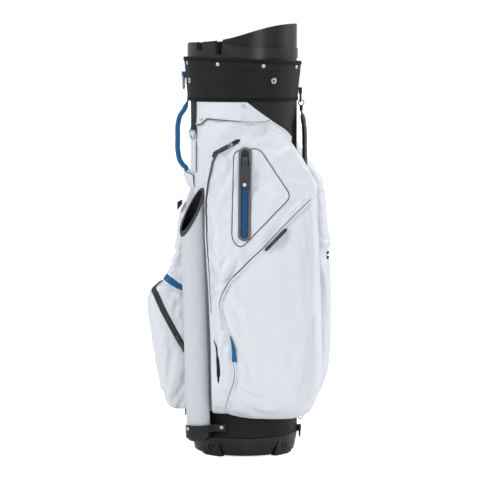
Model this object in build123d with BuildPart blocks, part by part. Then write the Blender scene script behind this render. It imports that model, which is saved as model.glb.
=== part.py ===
from build123d import *
from math import atan2, cos, degrees, radians, sin
import os

# Cart golf bag with a moulded club organiser, an outside umbrella tube, zipped pockets,
# a carry handle and a shoulder strap. Millimetres. +Z is up, and the origin is the centre
# of the flat under side of the base. The front, with the ball pocket and the carry handle,
# faces -X. The spine, with the shoulder strap, faces +X. The umbrella tube stands on the
# near side, -Y, and the side pockets are on -Y and +Y.

# ---------------------------------------------------------------- driving dimensions
CORE_RADIUS = 109.4  # outside of the white wrap on the round body
FABRIC = 1.8  # thickness of the coated cloth
GAP = 0.2  # air between neighbouring layers
BASE_HEIGHT = 39.6
BASE_FOOT_RADIUS = 103.0
BAND_TOP = 92.0  # top of the black cloth band above the base
LINER_TOP = 740.0
COLLAR_LOW, COLLAR_HIGH = 721.0, 805.0
COLLAR_LOW_RADIUS, COLLAR_HIGH_RADIUS = 112.0, 119.6
COLLAR_SLOPE = -0.0385  # the collar's top edge falls towards the spine
TOP_X = -3.5  # the collar and the organiser stand a little forward
ORGANISER_RADIUS = 110.5
ORGANISER_WALL = 4.0
RIM_LOW, RIM_HIGH = 839.0, 875.0  # the organiser's rim at the front and at the spine
BAND_STEP = 827.5  # top of the organiser's thicker lower band
CELL = 46.0  # pitch of the club wells
TUBE_RADIUS, TUBE_WALL = 24.0, 1.8
TUBE_FOOT = (-84.0, -106.5, 58.0)
TUBE_HEAD = (-95.0, -113.0, 503.6)  # where the slanting mouth crosses the tube's axis
FACE_TOP = (-127.0, 640.0)  # a point (y, z) of the side pocket's sloping face
FACE_SLOPE = 0.1095  # the face stands out this much further for each millimetre down
LOWER_STEP = 10.0  # the lower pocket stands out from the side pocket by this much

COVER_OUT = CORE_RADIUS - FABRIC - GAP
LINER_OUT = COVER_OUT - FABRIC - GAP
LINER_IN = LINER_OUT - 2.0
SKIRT_OUT = LINER_IN - 0.3
SKIRT_IN = SKIRT_OUT - 3.7
DIVIDER_RADIUS = SKIRT_IN - 0.5

os.makedirs("parts", exist_ok=True)


# ---------------------------------------------------------------- helpers
def save(piece, name):
    """Labels a finished piece and writes it as one STEP file."""
    piece.part.label = name
    export_step(piece.part, f"parts/{name}.step")


def tube_solid(r_in, r_out, z_low, z_high, centre_x=0.0):
    """A plain upright tube, as a free object."""
    with BuildPart(mode=Mode.PRIVATE) as made:
        with BuildSketch(Plane((centre_x, 0, z_low))):
            Circle(r_out)
            Circle(r_in, mode=Mode.SUBTRACT)
        extrude(amount=z_high - z_low)
    return made.part


def prism_y(points, low=-300.0, high=300.0):
    """A prism along Y whose section is a polygon of (x, z) points."""
    with BuildPart(mode=Mode.PRIVATE) as made:
        with BuildSketch(Plane((0, high, 0), x_dir=(1, 0, 0), z_dir=(0, -1, 0))):
            with BuildLine():
                Polyline(*points, close=True)
            make_face()
        extrude(amount=high - low)
    return made.part


def prism_x(points):
    """A prism along X whose section is a polygon of (y, z) points."""
    with BuildPart(mode=Mode.PRIVATE) as made:
        with BuildSketch(Plane((-300, 0, 0), x_dir=(0, 1, 0), z_dir=(1, 0, 0))):
            with BuildLine():
                Polyline(*points, close=True)
            make_face()
        extrude(amount=600)
    return made.part


def prism_z(points, rounding):
    """An upright prism whose section is a polygon of (x, y) points with rounded corners."""
    with BuildPart(mode=Mode.PRIVATE) as made:
        with BuildSketch(Plane.XY) as outline:
            with BuildLine():
                Polyline(*points, close=True)
            make_face()
            fillet(outline.vertices(), rounding)
        extrude(amount=900)
    return made.part


def flipped(points, index):
    """The same points with the sign of their first or second coordinate changed."""
    signs = (-1, 1) if index == 0 else (1, -1)
    return [(signs[0] * a, signs[1] * b) for a, b in points]


def face_y(z):
    """Where the sloping face of the near side pocket stands at a height."""
    return FACE_TOP[0] - (FACE_TOP[1] - z) * FACE_SLOPE


def face_plane(x, z, side=-1, lift=0.0, turn=0.0):
    """A plane on a side pocket's sloping face: x_dir across, y_dir up the face, z_dir outwards."""
    outward = Vector(0, side, FACE_SLOPE).normalized()
    across = Vector(-side, 0, 0)
    upward = outward.cross(across)
    turned = across * cos(radians(turn)) + upward * sin(radians(turn))
    return Plane((x, -side * face_y(z), z), x_dir=turned, z_dir=outward).offset(lift)


def radial_plane(angle, radius, z, tilt=0.0, centre_x=0.0):
    """A plane on a round wall: z_dir points outwards, y_dir up the wall, which leans by tilt."""
    a, t = radians(angle), radians(tilt)
    outward = (cos(a) * cos(t), sin(a) * cos(t), -sin(t))
    across = (-sin(a), cos(a), 0)
    return Plane((centre_x + radius * cos(a), radius * sin(a), z), x_dir=across, z_dir=outward)


def at(plane, x, y, z):
    """A point given in a plane's own coordinates."""
    return plane.from_local_coords(Vector(x, y, z))


def collar_radius(z):
    """The collar's outer radius at a height."""
    share = (z - COLLAR_LOW) / (COLLAR_HIGH - COLLAR_LOW)
    return COLLAR_LOW_RADIUS + (COLLAR_HIGH_RADIUS - COLLAR_LOW_RADIUS) * share


COLLAR_LEAN = degrees(atan2(COLLAR_HIGH_RADIUS - COLLAR_LOW_RADIUS, COLLAR_HIGH - COLLAR_LOW))


# ---------------------------------------------------------------- base
LUG_ANGLES = (-123, -37, 37, 123)
LUG_WIDTH_LOW, LUG_WIDTH_HIGH = 52.0, 30.0
LUG_RADIUS = 108.2
PAD_THICKNESS = 2.5

with BuildPart() as base_cup:
    with BuildSketch(Plane.XZ):
        with BuildLine():
            Polyline(
                (0, 0),
                (70, 0),
                (73, 3),
                (BASE_FOOT_RADIUS, 3),
                (CORE_RADIUS, 34),
                (CORE_RADIUS, BASE_HEIGHT),
                (SKIRT_OUT, BASE_HEIGHT),
                (SKIRT_OUT, 70),
                (SKIRT_IN, 70),
                (SKIRT_IN, 6),
                (0, 6),
                close=True,
            )
        make_face()
    revolve(axis=Axis.Z)
    for angle in LUG_ANGLES:
        with BuildSketch(radial_plane(angle, SKIRT_IN + 2, 0)):
            with BuildLine():
                Polyline(
                    (-LUG_WIDTH_LOW / 2, PAD_THICKNESS),
                    (LUG_WIDTH_LOW / 2, PAD_THICKNESS),
                    (LUG_WIDTH_HIGH / 2, 33),
                    (-LUG_WIDTH_HIGH / 2, 33),
                    close=True,
                )
            make_face()
        extrude(amount=LUG_RADIUS + 4 - SKIRT_IN)
    # the lugs' outer faces follow the round of the base
    with BuildSketch(Plane.XY):
        Circle(200)
        Circle(LUG_RADIUS + 1.2, mode=Mode.SUBTRACT)
    extrude(amount=33.5, mode=Mode.SUBTRACT)
    # a round dimple in each lug
    for angle in LUG_ANGLES:
        with BuildSketch(radial_plane(angle, LUG_RADIUS - 1.0, 19)):
            Circle(7)
            Circle(4.2, mode=Mode.SUBTRACT)
        extrude(amount=4, mode=Mode.SUBTRACT)
save(base_cup, "base_cup")

with BuildPart() as base_feet:
    for angle in LUG_ANGLES:
        with BuildSketch(Plane.XY):
            with Locations(Location((0, 0, 0), (0, 0, angle))):
                with Locations((98.5, 0)):
                    RectangleRounded(15, LUG_WIDTH_LOW - 8, 5)
        extrude(amount=PAD_THICKNESS - 0.05)
save(base_feet, "base_feet")

with BuildPart() as base_band:
    add(tube_solid(COVER_OUT + GAP, CORE_RADIUS - GAP, BASE_HEIGHT + 0.2, BAND_TOP))
save(base_band, "base_band")

# ---------------------------------------------------------------- round body
with BuildPart() as core_liner:
    add(tube_solid(LINER_IN, LINER_OUT, BASE_HEIGHT + 0.4, LINER_TOP))
save(core_liner, "core_liner")

with BuildPart() as core_cover:
    add(tube_solid(LINER_OUT + GAP, COVER_OUT, BASE_HEIGHT + 0.4, COLLAR_LOW - 0.5))
save(core_cover, "core_cover")

WRAP_OUTLINE = [
    (-125, BAND_TOP + 0.3),
    (-125, COLLAR_LOW - 1),
    (13, COLLAR_LOW - 1),
    (58, 684),
    (90, 660),
    (100, 648),
    (100, BAND_TOP + 0.3),
]
with BuildPart() as body_wrap:
    add(tube_solid(COVER_OUT + GAP, CORE_RADIUS, BAND_TOP + 0.3, COLLAR_LOW - 1))
    add(prism_y(WRAP_OUTLINE), mode=Mode.INTERSECT)
save(body_wrap, "body_wrap")

STAY_RADIUS = 2.8
with BuildPart() as stay_rods:
    with BuildSketch(Plane.XY.offset(71)):
        with PolarLocations(LINER_IN - STAY_RADIUS - 0.3, 4, start_angle=45):
            Circle(STAY_RADIUS)
    extrude(amount=698 - 71)
save(stay_rods, "stay_rods")

# ---------------------------------------------------------------- club wells
LONG_WALLS = (-CELL, 0.0, CELL)
ROWS = (  # (low x, high x, the short walls' y, the height of the moulded deck)
    (-120.0, -CELL, (-CELL / 2, CELL / 2), 818.0),
    (-CELL, 0.0, (-CELL, 0.0, CELL), 824.0),
    (0.0, CELL, (-CELL, 0.0, CELL), 834.0),
    (CELL, 120.0, (-CELL / 2, CELL / 2), 848.0),
)


def divider_grid(radius, centre_x, z_low, tops, thick):
    """Upright walls between the club wells, clipped to a circle: long ones across and short ones between."""
    with BuildPart(mode=Mode.PRIVATE) as made:
        for x, top in zip(LONG_WALLS, tops[1:]):
            with BuildSketch(Plane((TOP_X + x, 0, z_low))):
                Rectangle(thick, 2 * radius)
            extrude(amount=top - z_low)
        for (x_low, x_high, ys, _), top in zip(ROWS, tops):
            length = x_high - x_low - thick - 0.4
            for y in ys:
                with BuildSketch(Plane((TOP_X + (x_low + x_high) / 2, y, z_low))):
                    Rectangle(length, thick)
                extrude(amount=top - z_low)
        with BuildSketch(Plane((centre_x, 0, z_low))):
            Circle(radius)
        extrude(amount=300 + max(tops) - z_low, mode=Mode.INTERSECT)
    return made.part


with BuildPart() as full_length_dividers:
    add(divider_grid(DIVIDER_RADIUS, 0.0, 6.2, [744.0] * 4, 1.6))
save(full_length_dividers, "full_length_dividers")

with BuildPart() as organiser_walls:
    deck = [row[3] for row in ROWS]
    add(divider_grid(ORGANISER_RADIUS - ORGANISER_WALL - 0.2, TOP_X, 746.5, deck, 5.0))
save(organiser_walls, "organiser_walls")


# ---------------------------------------------------------------- organiser
NOTCHES = (  # (angle, width at the rim, depth)
    (225, 14.0, 17.0),
    (250.5, 13.0, 25.0),
    (135, 14.0, 17.0),
    (109.5, 13.0, 25.0),
)
with BuildPart() as organiser_shell:
    # the skirt that stands inside the liner, and its flange
    with BuildSketch(Plane.XY.offset(700)):
        Circle(SKIRT_OUT)
        Circle(SKIRT_IN, mode=Mode.SUBTRACT)
    extrude(amount=46)
    with BuildSketch(Plane.XY.offset(LINER_TOP + 0.2)):
        with Locations((TOP_X, 0)):
            Circle(ORGANISER_RADIUS)
        Circle(SKIRT_IN, mode=Mode.SUBTRACT)
    extrude(amount=6)
    with BuildSketch(Plane((TOP_X, 0, LINER_TOP + 0.2))):
        Circle(ORGANISER_RADIUS)
        Circle(ORGANISER_RADIUS - ORGANISER_WALL, mode=Mode.SUBTRACT)
    extrude(amount=RIM_HIGH + 5 - LINER_TOP)
    # the rim sweeps up from the front to the spine
    with BuildSketch(Plane.XZ) as rim_cut:
        with BuildLine():
            sweep_up = Spline(
                (-140, RIM_LOW),
                (-75, RIM_LOW + 0.6),
                (-20, RIM_LOW + 7.5),
                (30, RIM_LOW + 22),
                (80, RIM_HIGH - 1.5),
                (140, RIM_HIGH),
            )
            Polyline((-140, RIM_LOW), (-140, 920), (140, 920), (140, RIM_HIGH))
        make_face()
    extrude(amount=150, both=True, mode=Mode.SUBTRACT)
    # notches that hold a club shaft upright at the rim
    for angle, width, depth in NOTCHES:
        with BuildSketch(radial_plane(angle, 90, RIM_LOW, centre_x=TOP_X)):
            with BuildLine():
                Polyline(
                    (-width / 2 - 1, 8),
                    (-width / 2, 0),
                    (-width / 4, -depth),
                    (width / 4, -depth),
                    (width / 2, 0),
                    (width / 2 + 1, 8),
                    close=True,
                )
            make_face()
        extrude(amount=40, mode=Mode.SUBTRACT)
save(organiser_shell, "organiser_shell")

with BuildPart() as organiser_band:
    with BuildSketch(Plane((TOP_X, 0, 807))):
        Circle(ORGANISER_RADIUS + 2.0)
        Circle(ORGANISER_RADIUS + 0.1, mode=Mode.SUBTRACT)
    extrude(amount=40)
    with BuildSketch(Plane.XZ):
        with BuildLine():
            Polyline(
                (-140, RIM_LOW - 2.5),
                (-40, RIM_LOW - 1.5),
                (5, BAND_STEP + 2),
                (30, BAND_STEP),
                (140, BAND_STEP),
                (140, 900),
                (-140, 900),
                close=True,
            )
        make_face()
    extrude(amount=150, both=True, mode=Mode.SUBTRACT)
    for angle, width, depth in NOTCHES:
        with BuildSketch(radial_plane(angle, 90, RIM_LOW, centre_x=TOP_X)):
            Rectangle(width + 3, 2 * depth)
        extrude(amount=40, mode=Mode.SUBTRACT)
save(organiser_band, "organiser_band")

# ---------------------------------------------------------------- collar
RIVET_ANGLES = [-109.5 + 45 * i for i in range(8)]
SNAP_ANGLES = (-52.5, 52.5, -152.5, 152.5)
RIVET_DROP = 11.5  # below the collar's top edge
SNAP_Z = 762.0


def collar_top(x):
    """Height of the collar's slanting top edge."""
    return COLLAR_HIGH + COLLAR_SLOPE * (x - TOP_X)


def collar_plane(angle, z):
    """A plane on the collar's leaning outer face."""
    return radial_plane(angle, collar_radius(z), z, COLLAR_LEAN, TOP_X)


def rivet_planes():
    """Where the collar's rivets sit, a constant drop below its top edge."""
    for angle in RIVET_ANGLES:
        x = TOP_X + COLLAR_HIGH_RADIUS * cos(radians(angle))
        yield collar_plane(angle, collar_top(x) - RIVET_DROP)


with BuildPart() as collar_band:
    with BuildSketch(Plane.XZ.move(Location((TOP_X, 0, 0)))):
        with BuildLine():
            Polyline(
                (ORGANISER_RADIUS + 0.3, COLLAR_LOW),
                (COLLAR_LOW_RADIUS, COLLAR_LOW),
                (collar_radius(820), 820),
                (ORGANISER_RADIUS + 0.3, 820),
                close=True,
            )
        make_face()
    revolve(axis=Axis((TOP_X, 0, 0), (0, 0, 1)))
    top_edge = Plane((TOP_X, 0, COLLAR_HIGH), x_dir=(1, 0, COLLAR_SLOPE), z_dir=(-COLLAR_SLOPE, 0, 1))
    split(bisect_by=top_edge, keep=Keep.BOTTOM)
    # room for the organiser's thicker band
    with BuildSketch(Plane((TOP_X, 0, COLLAR_LOW + 70))):
        Circle(ORGANISER_RADIUS + 2.3)
    extrude(amount=60, mode=Mode.SUBTRACT)
    for plane in rivet_planes():
        with BuildSketch(plane.offset(-3.2)):
            Circle(1.9)
        extrude(amount=10, mode=Mode.SUBTRACT)
save(collar_band, "collar_band")


def dome(plane, radius, height, shank=0.0):
    """A round rivet head on a plane, with an optional shank below it, as a free object."""
    with BuildPart(mode=Mode.PRIVATE) as made:
        with BuildSketch(plane):
            Circle(radius)
        extrude(amount=height * 0.45)
        with BuildSketch(plane.offset(height * 0.45)):
            Circle(radius)
        extrude(amount=height * 0.55, taper=48)
        if shank:
            with BuildSketch(plane.offset(-shank)):
                Circle(1.7)
            extrude(amount=shank + 0.2)
    return made.part


with BuildPart() as collar_rivets:
    for plane in rivet_planes():
        add(dome(plane.offset(0.1), 4.3, 2.4, shank=3.0))
save(collar_rivets, "collar_rivets")

with BuildPart() as hood_snaps:
    for angle in SNAP_ANGLES:
        plane = collar_plane(angle, SNAP_Z).offset(0.1)
        with BuildSketch(plane):
            Circle(6.2)
        extrude(amount=1.2)
        with BuildSketch(plane.offset(1.2)):
            Circle(6.2)
            Circle(3.4, mode=Mode.SUBTRACT)
        extrude(amount=0.9)
save(hood_snaps, "hood_snaps")


# ---------------------------------------------------------------- rings
def d_ring(plane, width, length, wire):
    """A ring of round wire on a plane: a straight bar along x at the origin, hanging to -y."""
    half, corner = width / 2, 3.0
    bend = half * 0.9
    with BuildPart(mode=Mode.PRIVATE) as made:
        with BuildLine(plane):
            Line((0, 0), (half - corner, 0))
            RadiusArc((half - corner, 0), (half, -corner), corner)
            Line((half, -corner), (half, bend - length))
            RadiusArc((half, bend - length), (half - bend, -length), bend)
            Line((half - bend, -length), (bend - half, -length))
            RadiusArc((bend - half, -length), (-half, bend - length), bend)
            Line((-half, bend - length), (-half, -corner))
            RadiusArc((-half, -corner), (corner - half, 0), corner)
            Line((corner - half, 0), (0, 0))
        with BuildSketch(Plane(plane.origin, x_dir=plane.z_dir, z_dir=plane.x_dir)):
            Circle(wire)
        sweep()
    return made.part


def webbing_tab(plane, width, height, depth, bar, hole):
    """A folded webbing tab on a plane that holds a ring's bar: a block with a hole along x."""
    side = Plane(at(plane, -width, *bar), x_dir=plane.z_dir, z_dir=plane.x_dir)
    with BuildPart(mode=Mode.PRIVATE) as made:
        with BuildSketch(plane):
            RectangleRounded(width, height, 1.0)
        extrude(amount=depth)
        with BuildSketch(side):
            Circle(hole)
        extrude(amount=2 * width, mode=Mode.SUBTRACT)
    return made.part


TOWEL_Z = 773.0
TOWEL_TAB = radial_plane(180, collar_radius(TOWEL_Z + 8) + 0.5, TOWEL_Z, 0, TOP_X)
WIRE = 1.8
BAR_DEPTH = 3.6
with BuildPart() as towel_tab:
    add(webbing_tab(TOWEL_TAB, 15, 13, 6.6, (-2.5, BAR_DEPTH), WIRE + 0.25))
save(towel_tab, "towel_tab")

towel_plane = Plane(at(TOWEL_TAB, 0, -2.5, BAR_DEPTH), x_dir=TOWEL_TAB.x_dir, z_dir=TOWEL_TAB.z_dir)
with BuildPart() as towel_ring:
    add(d_ring(towel_plane, 24, 26, WIRE))
save(towel_ring, "towel_ring")

# the rain-hood strap on the near front: black webbing from the collar to a ring, white webbing below
HOOD_ANGLE = 208.5
with BuildPart() as hood_strap:
    with BuildSketch(radial_plane(HOOD_ANGLE, CORE_RADIUS + 2.2, 691)):
        Rectangle(23, 57)
    extrude(amount=1.8)
save(hood_strap, "hood_strap")

with BuildPart() as hood_webbing:
    with BuildSketch(radial_plane(HOOD_ANGLE, CORE_RADIUS + 2.2, 611.5)):
        Rectangle(23, 65)
    extrude(amount=1.8)
save(hood_webbing, "hood_webbing")

with BuildPart() as hood_strap_ring:
    add(d_ring(radial_plane(HOOD_ANGLE, CORE_RADIUS + 6.4, 661), 26, 16, 1.6))
save(hood_strap_ring, "hood_strap_ring")

# ---------------------------------------------------------------- umbrella tube
TUBE_AXIS = (Vector(*TUBE_HEAD) - Vector(*TUBE_FOOT)).normalized()
TUBE_PLANE = Plane(TUBE_FOOT, x_dir=(1, 0, -TUBE_AXIS.X / TUBE_AXIS.Z), z_dir=TUBE_AXIS)
MOUTH = Plane(TUBE_HEAD, z_dir=(-1.635, -0.95, 1))


def tube_sleeve(r_in, r_out, bottom_to, top_to):
    """A stretch of tube on the umbrella tube's axis, cut by the mouth's plane moved down by two amounts."""
    with BuildPart(mode=Mode.PRIVATE) as made:
        with BuildSketch(TUBE_PLANE.offset(2)):
            Circle(r_out)
            Circle(r_in, mode=Mode.SUBTRACT)
        extrude(amount=620)
        split(bisect_by=MOUTH.offset(-top_to), keep=Keep.BOTTOM)
        if bottom_to is not None:
            split(bisect_by=MOUTH.offset(-bottom_to), keep=Keep.TOP)
    return made.part


with BuildPart() as umbrella_tube:
    add(tube_sleeve(TUBE_RADIUS - TUBE_WALL, TUBE_RADIUS, None, 1.5))
save(umbrella_tube, "umbrella_tube")

with BuildPart() as tube_rim:
    add(tube_sleeve(TUBE_RADIUS + 0.1, TUBE_RADIUS + 2.0, 5.0, 1.4))
    add(tube_sleeve(TUBE_RADIUS - TUBE_WALL + 0.3, TUBE_RADIUS + 2.0, 1.4, -1.2))
save(tube_rim, "tube_rim")

CUP_RADIUS = TUBE_RADIUS + 2.5
with BuildPart() as tube_cup:
    with BuildSketch(TUBE_PLANE.offset(-22)):
        Circle(CUP_RADIUS)
    extrude(amount=30)
    with BuildSketch(TUBE_PLANE.offset(1.0)):
        Circle(TUBE_RADIUS + 0.15)
    extrude(amount=20, mode=Mode.SUBTRACT)
    # the foot of the cup runs in to the base
    chamfer(tube_cup.edges().filter_by(GeomType.CIRCLE).sort_by(Axis.Z)[0], 7)
    foot_angle = degrees(atan2(TUBE_FOOT[1], TUBE_FOOT[0]))
    with BuildSketch(radial_plane(foot_angle, CORE_RADIUS + 0.3, 43)):
        Rectangle(26, 12)
    extrude(amount=10)
    add(tube_solid(0.1, CORE_RADIUS + 0.2, -1, 120), mode=Mode.SUBTRACT)
save(tube_cup, "tube_cup")

# the strap that ties the cup to the base band, from the cup's near side round to the band
STRAP_END = (-27.0, -112.0)
cup_near = Vector(TUBE_FOOT[0] + 4, TUBE_FOOT[1] - CUP_RADIUS - 0.4)
with BuildPart() as cup_strap:
    with BuildSketch(Plane.XY.offset(55)):
        with BuildLine():
            Polyline(
                (cup_near.X, cup_near.Y),
                (cup_near.X + 14, cup_near.Y + 3.4),
                (-55, -111.5),
                (-44, -111.2),
                (STRAP_END[0], STRAP_END[1]),
                (STRAP_END[0], STRAP_END[1] - 2.2),
                (-44, -113.4),
                (-56, -114),
                (cup_near.X + 14, cup_near.Y + 1.0),
                (cup_near.X, cup_near.Y - 2.2),
                close=True,
            )
        make_face()
    extrude(amount=15)
    add(tube_solid(0.1, CORE_RADIUS + 0.2, 40, 120), mode=Mode.SUBTRACT)
    with BuildSketch(TUBE_PLANE.offset(-30)):
        Circle(CUP_RADIUS + 0.3)
    extrude(amount=60, mode=Mode.SUBTRACT)
save(cup_strap, "cup_strap")

cup_out = Vector(cos(radians(228)), sin(radians(228)), 0)
CUP_RIVET = Plane(
    Vector(TUBE_FOOT[0], TUBE_FOOT[1], 57) + cup_out * (CUP_RADIUS + 0.1),
    x_dir=(-cup_out.Y, cup_out.X, 0),
    z_dir=cup_out,
)
with BuildPart() as cup_rivets:
    add(dome(Plane((-36, -114.3, 63), x_dir=(1, 0, 0), z_dir=(0, -1, 0)), 4.0, 2.6))
    add(dome(CUP_RIVET, 4.0, 2.6))
save(cup_rivets, "cup_rivets")

# a small moulded loop beside the tube's mouth ties it to the front pocket
with BuildPart() as tube_clip:
    add(prism_y([(-131, 499.9), (-122, 511.1), (-122, 521), (-131, 516)], -66, -50))
    with BuildSketch(TUBE_PLANE.offset(-10)):
        Circle(TUBE_RADIUS + 2.3)
    extrude(amount=600, mode=Mode.SUBTRACT)
save(tube_clip, "tube_clip")

# ---------------------------------------------------------------- side pockets
SIDE_OUTLINE = [
    (-54, 96),
    (-55, 212),
    (-58, 300),
    (-62, 363),
    (-66, 408),
    (-71.6, 460),
    (-72, 490),
    (-71, 530),
    (-68, 555),
    (-62, 582),
    (-55, 611),
    (-51, 624),
    (-25, 641),
    (1, 653),
    (30, 667),
    (60, 672),
    (90, 655),
    (111, 632),
    (125, 609),
    (154, 552),
    (154, 533),
    (150, 500),
    (150, 190),
    (138, 140),
    (110, 98),
]
LOWER_OUTLINE = [
    (96, 477),
    (57.5, 435),
    (20.4, 399),
    (-26, 343),
    (-33.6, 324),
    (-27.6, 288),
    (-17.6, 262),
    (-9.6, 235),
    (-6.6, 204),
    (-0.6, 173),
    (-14.6, 134),
    (-22, 96),
    (46, 84),
    (120, 84),
    (155, 128),
    (167, 179),
    (167, 300),
    (159, 408),
    (156, 480),
    (154.5, 531),
]
SIDE_PLAN = [
    (-80, -60),
    (-80, -112),
    (-58, -134),
    (-22, -175),
    (122, -175),
    (168, -142),
    (176, -100),
    (170, -62),
    (140, -42),
    (60, -42),
    (0, -60),
]
LOWER_PLAN = [
    (-45, -80),
    (-45, -140),
    (-24, -178),
    (122, -178),
    (168, -146),
    (176, -100),
    (170, -62),
    (140, -42),
    (60, -42),
    (0, -60),
]
SIDE_PROFILE = [
    (0, 700),
    (-109, 690),
    (-118, 665),
    (face_y(652), 652),
    (face_y(430), 430),
    (-153, 400),
    (-153, 160),
    (-141, 112),
    (-114, 93),
    (0, 93),
]
LOWER_PROFILE = [
    (0, 560),
    (-110, 560),
    (face_y(545) - LOWER_STEP, 545),
    (face_y(430) - LOWER_STEP, 430),
    (-166, 360),
    (-168, 190),
    (-158, 122),
    (-134, 92),
    (-114, 84),
    (0, 84),
]
POCKET_BACK = CORE_RADIUS + 0.25
TUBE_ROOM = TUBE_RADIUS + 3.2


def side_volume(plan, profile, outline, side):
    """Where three prisms meet, outside the round body: a pocket's plain outer shape."""
    with BuildPart(mode=Mode.PRIVATE) as made:
        add(prism_y(outline))
        add(prism_z(plan if side < 0 else flipped(plan, 1), 12), mode=Mode.INTERSECT)
        add(prism_x(profile if side < 0 else flipped(profile, 0)), mode=Mode.INTERSECT)
        add(tube_solid(0.01, POCKET_BACK, 0, 900), mode=Mode.SUBTRACT)
        if side < 0:
            with BuildSketch(TUBE_PLANE.offset(-20)):
                Circle(TUBE_ROOM)
            extrude(amount=700, mode=Mode.SUBTRACT)
    return made.part


def grown(points, amount):
    """The lower pocket's outline grown all round, to leave a seam's width beside it."""
    with BuildSketch(Plane.XZ, mode=Mode.PRIVATE) as outline:
        with BuildLine():
            Polyline(*points, close=True)
        make_face()
        offset(amount=amount, kind=Kind.INTERSECTION)
    return outline.sketch


for name, side in (("near", -1), ("far", 1)):
    with BuildPart() as lower_pocket:
        add(side_volume(LOWER_PLAN, LOWER_PROFILE, LOWER_OUTLINE, side))
    save(lower_pocket, f"lower_pocket_{name}")
    with BuildPart() as side_pocket:
        add(side_volume(SIDE_PLAN, SIDE_PROFILE, SIDE_OUTLINE, side))
        extrude(to_extrude=grown(LOWER_OUTLINE, 0.3), amount=300, both=True, mode=Mode.SUBTRACT)
    save(side_pocket, f"side_pocket_{name}")

# the yoke flap under the collar, in front of each side pocket's top
FLAP_OUTLINE = [
    (-86, COLLAR_LOW - 1.2),
    (13, COLLAR_LOW - 1.2),
    (56, 685),
    (45, 681),
    (4, 682),
    (-60, 686),
    (-80, 673),
    (-87, 673),
]
with BuildPart() as yoke_flaps:
    add(tube_solid(CORE_RADIUS + 0.3, CORE_RADIUS + 2.0, 660, COLLAR_LOW - 1.2))
    add(prism_y(FLAP_OUTLINE), mode=Mode.INTERSECT)
save(yoke_flaps, "yoke_flaps")

with BuildPart() as flap_snaps:
    for angle, z in ((-86, 712), (86, 712), (-135.5, 684), (135.5, 684)):
        add(dome(radial_plane(angle, CORE_RADIUS + 2.1, z), 3.2, 1.8))
save(flap_snaps, "flap_snaps")

# ---------------------------------------------------------------- front pockets
with BuildPart() as ball_pocket:
    add(
        prism_y(
            [
                (-100, 98),
                (-138, 92),
                (-156, 98),
                (-172, 150),
                (-189, 248),
                (-197, 300),
                (-195, 325),
                (-180, 340),
                (-164, 344.6),
                (-100, 344.6),
            ],
            -72,
            72,
        )
    )
    add(tube_solid(0.01, POCKET_BACK, 0, 900), mode=Mode.SUBTRACT)
    with BuildSketch(Plane.XY):
        with Locations((-150, 0)):
            RectangleRounded(96, 144, 22)
    extrude(amount=500, mode=Mode.INTERSECT)
save(ball_pocket, "ball_pocket")

with BuildPart() as front_pocket:
    add(
        prism_y(
            [
                (-100, 345),
                (-165, 345),
                (-164, 356),
                (-152, 385),
                (-142, 420),
                (-137, 480),
                (-133, 497),
                (-100, 538),
            ],
            -68,
            68,
        )
    )
    add(tube_solid(0.01, POCKET_BACK, 0, 900), mode=Mode.SUBTRACT)
    with BuildSketch(Plane.XY):
        with Locations((-132, 0)):
            RectangleRounded(70, 136, 22)
    extrude(amount=600, mode=Mode.INTERSECT)
save(front_pocket, "front_pocket")

# ---------------------------------------------------------------- carry handle
HANDLE_X = -118.0
HANDLE_LOW, HANDLE_HIGH = 577.8, COLLAR_LOW - 0.3
HANDLE_PATH = [
    (HANDLE_X, HANDLE_HIGH),
    (HANDLE_X - 1, 701),
    (-131, 690),
    (-137.5, 672),
    (-137, 615),
    (-131, 594),
    (HANDLE_X - 1, 586),
    (HANDLE_X, HANDLE_LOW),
]


def handle_strip(thick, half_width, low, high):
    """A strip along the handle's path, between two heights, as a free object."""
    with BuildPart(mode=Mode.PRIVATE) as made:
        with BuildSketch(Plane((0, half_width, 0), x_dir=(1, 0, 0), z_dir=(0, -1, 0))):
            with BuildLine() as path:
                FilletPolyline(*HANDLE_PATH, radius=5)
            trace(path.line, line_width=thick)
        extrude(amount=2 * half_width)
        with BuildSketch(Plane.XY.offset(low)):
            Rectangle(600, 100)
        extrude(amount=high - low, mode=Mode.INTERSECT)
    return made.part


with BuildPart() as handle_webbing:
    add(handle_strip(2.6, 10, HANDLE_LOW, HANDLE_HIGH))
save(handle_webbing, "handle_webbing")

with BuildPart() as handle_grip:
    add(handle_strip(9.4, 13, 592, 699))
    add(handle_strip(3.0, 10.2, 560, 720), mode=Mode.SUBTRACT)
save(handle_grip, "handle_grip")

# the moulded white patch that the handle's lower end is sewn into
PATCH_ANGLE = 27.0
with BuildPart() as handle_patch:
    with BuildSketch(Plane.XZ):
        with BuildLine():
            Polyline(
                (-POCKET_BACK, 577.4),
                (-124.5, 577.4),
                (-123, 562),
                (-117, 548),
                (-POCKET_BACK, 541),
                close=True,
            )
        make_face()
    revolve(axis=Axis.Z, revolution_arc=360)
    add(
        prism_z([(-200, -102), (-60, -30.6), (-60, 30.6), (-200, 102)], 0.5),
        mode=Mode.INTERSECT,
    )
save(handle_patch, "handle_patch")

# the lift handle of black webbing below the ball pocket
with BuildPart() as base_handle:
    with BuildSketch(Plane.XY.offset(70)):
        with BuildLine() as lift_path:
            Spline((-104, -46), (-118, -30), (-122.5, 0), (-118, 30), (-104, 46))
        trace(lift_path.line, line_width=3.0)
    extrude(amount=20)
    add(tube_solid(0.01, CORE_RADIUS + 0.1, 40, 120), mode=Mode.SUBTRACT)
save(base_handle, "base_handle")

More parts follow.
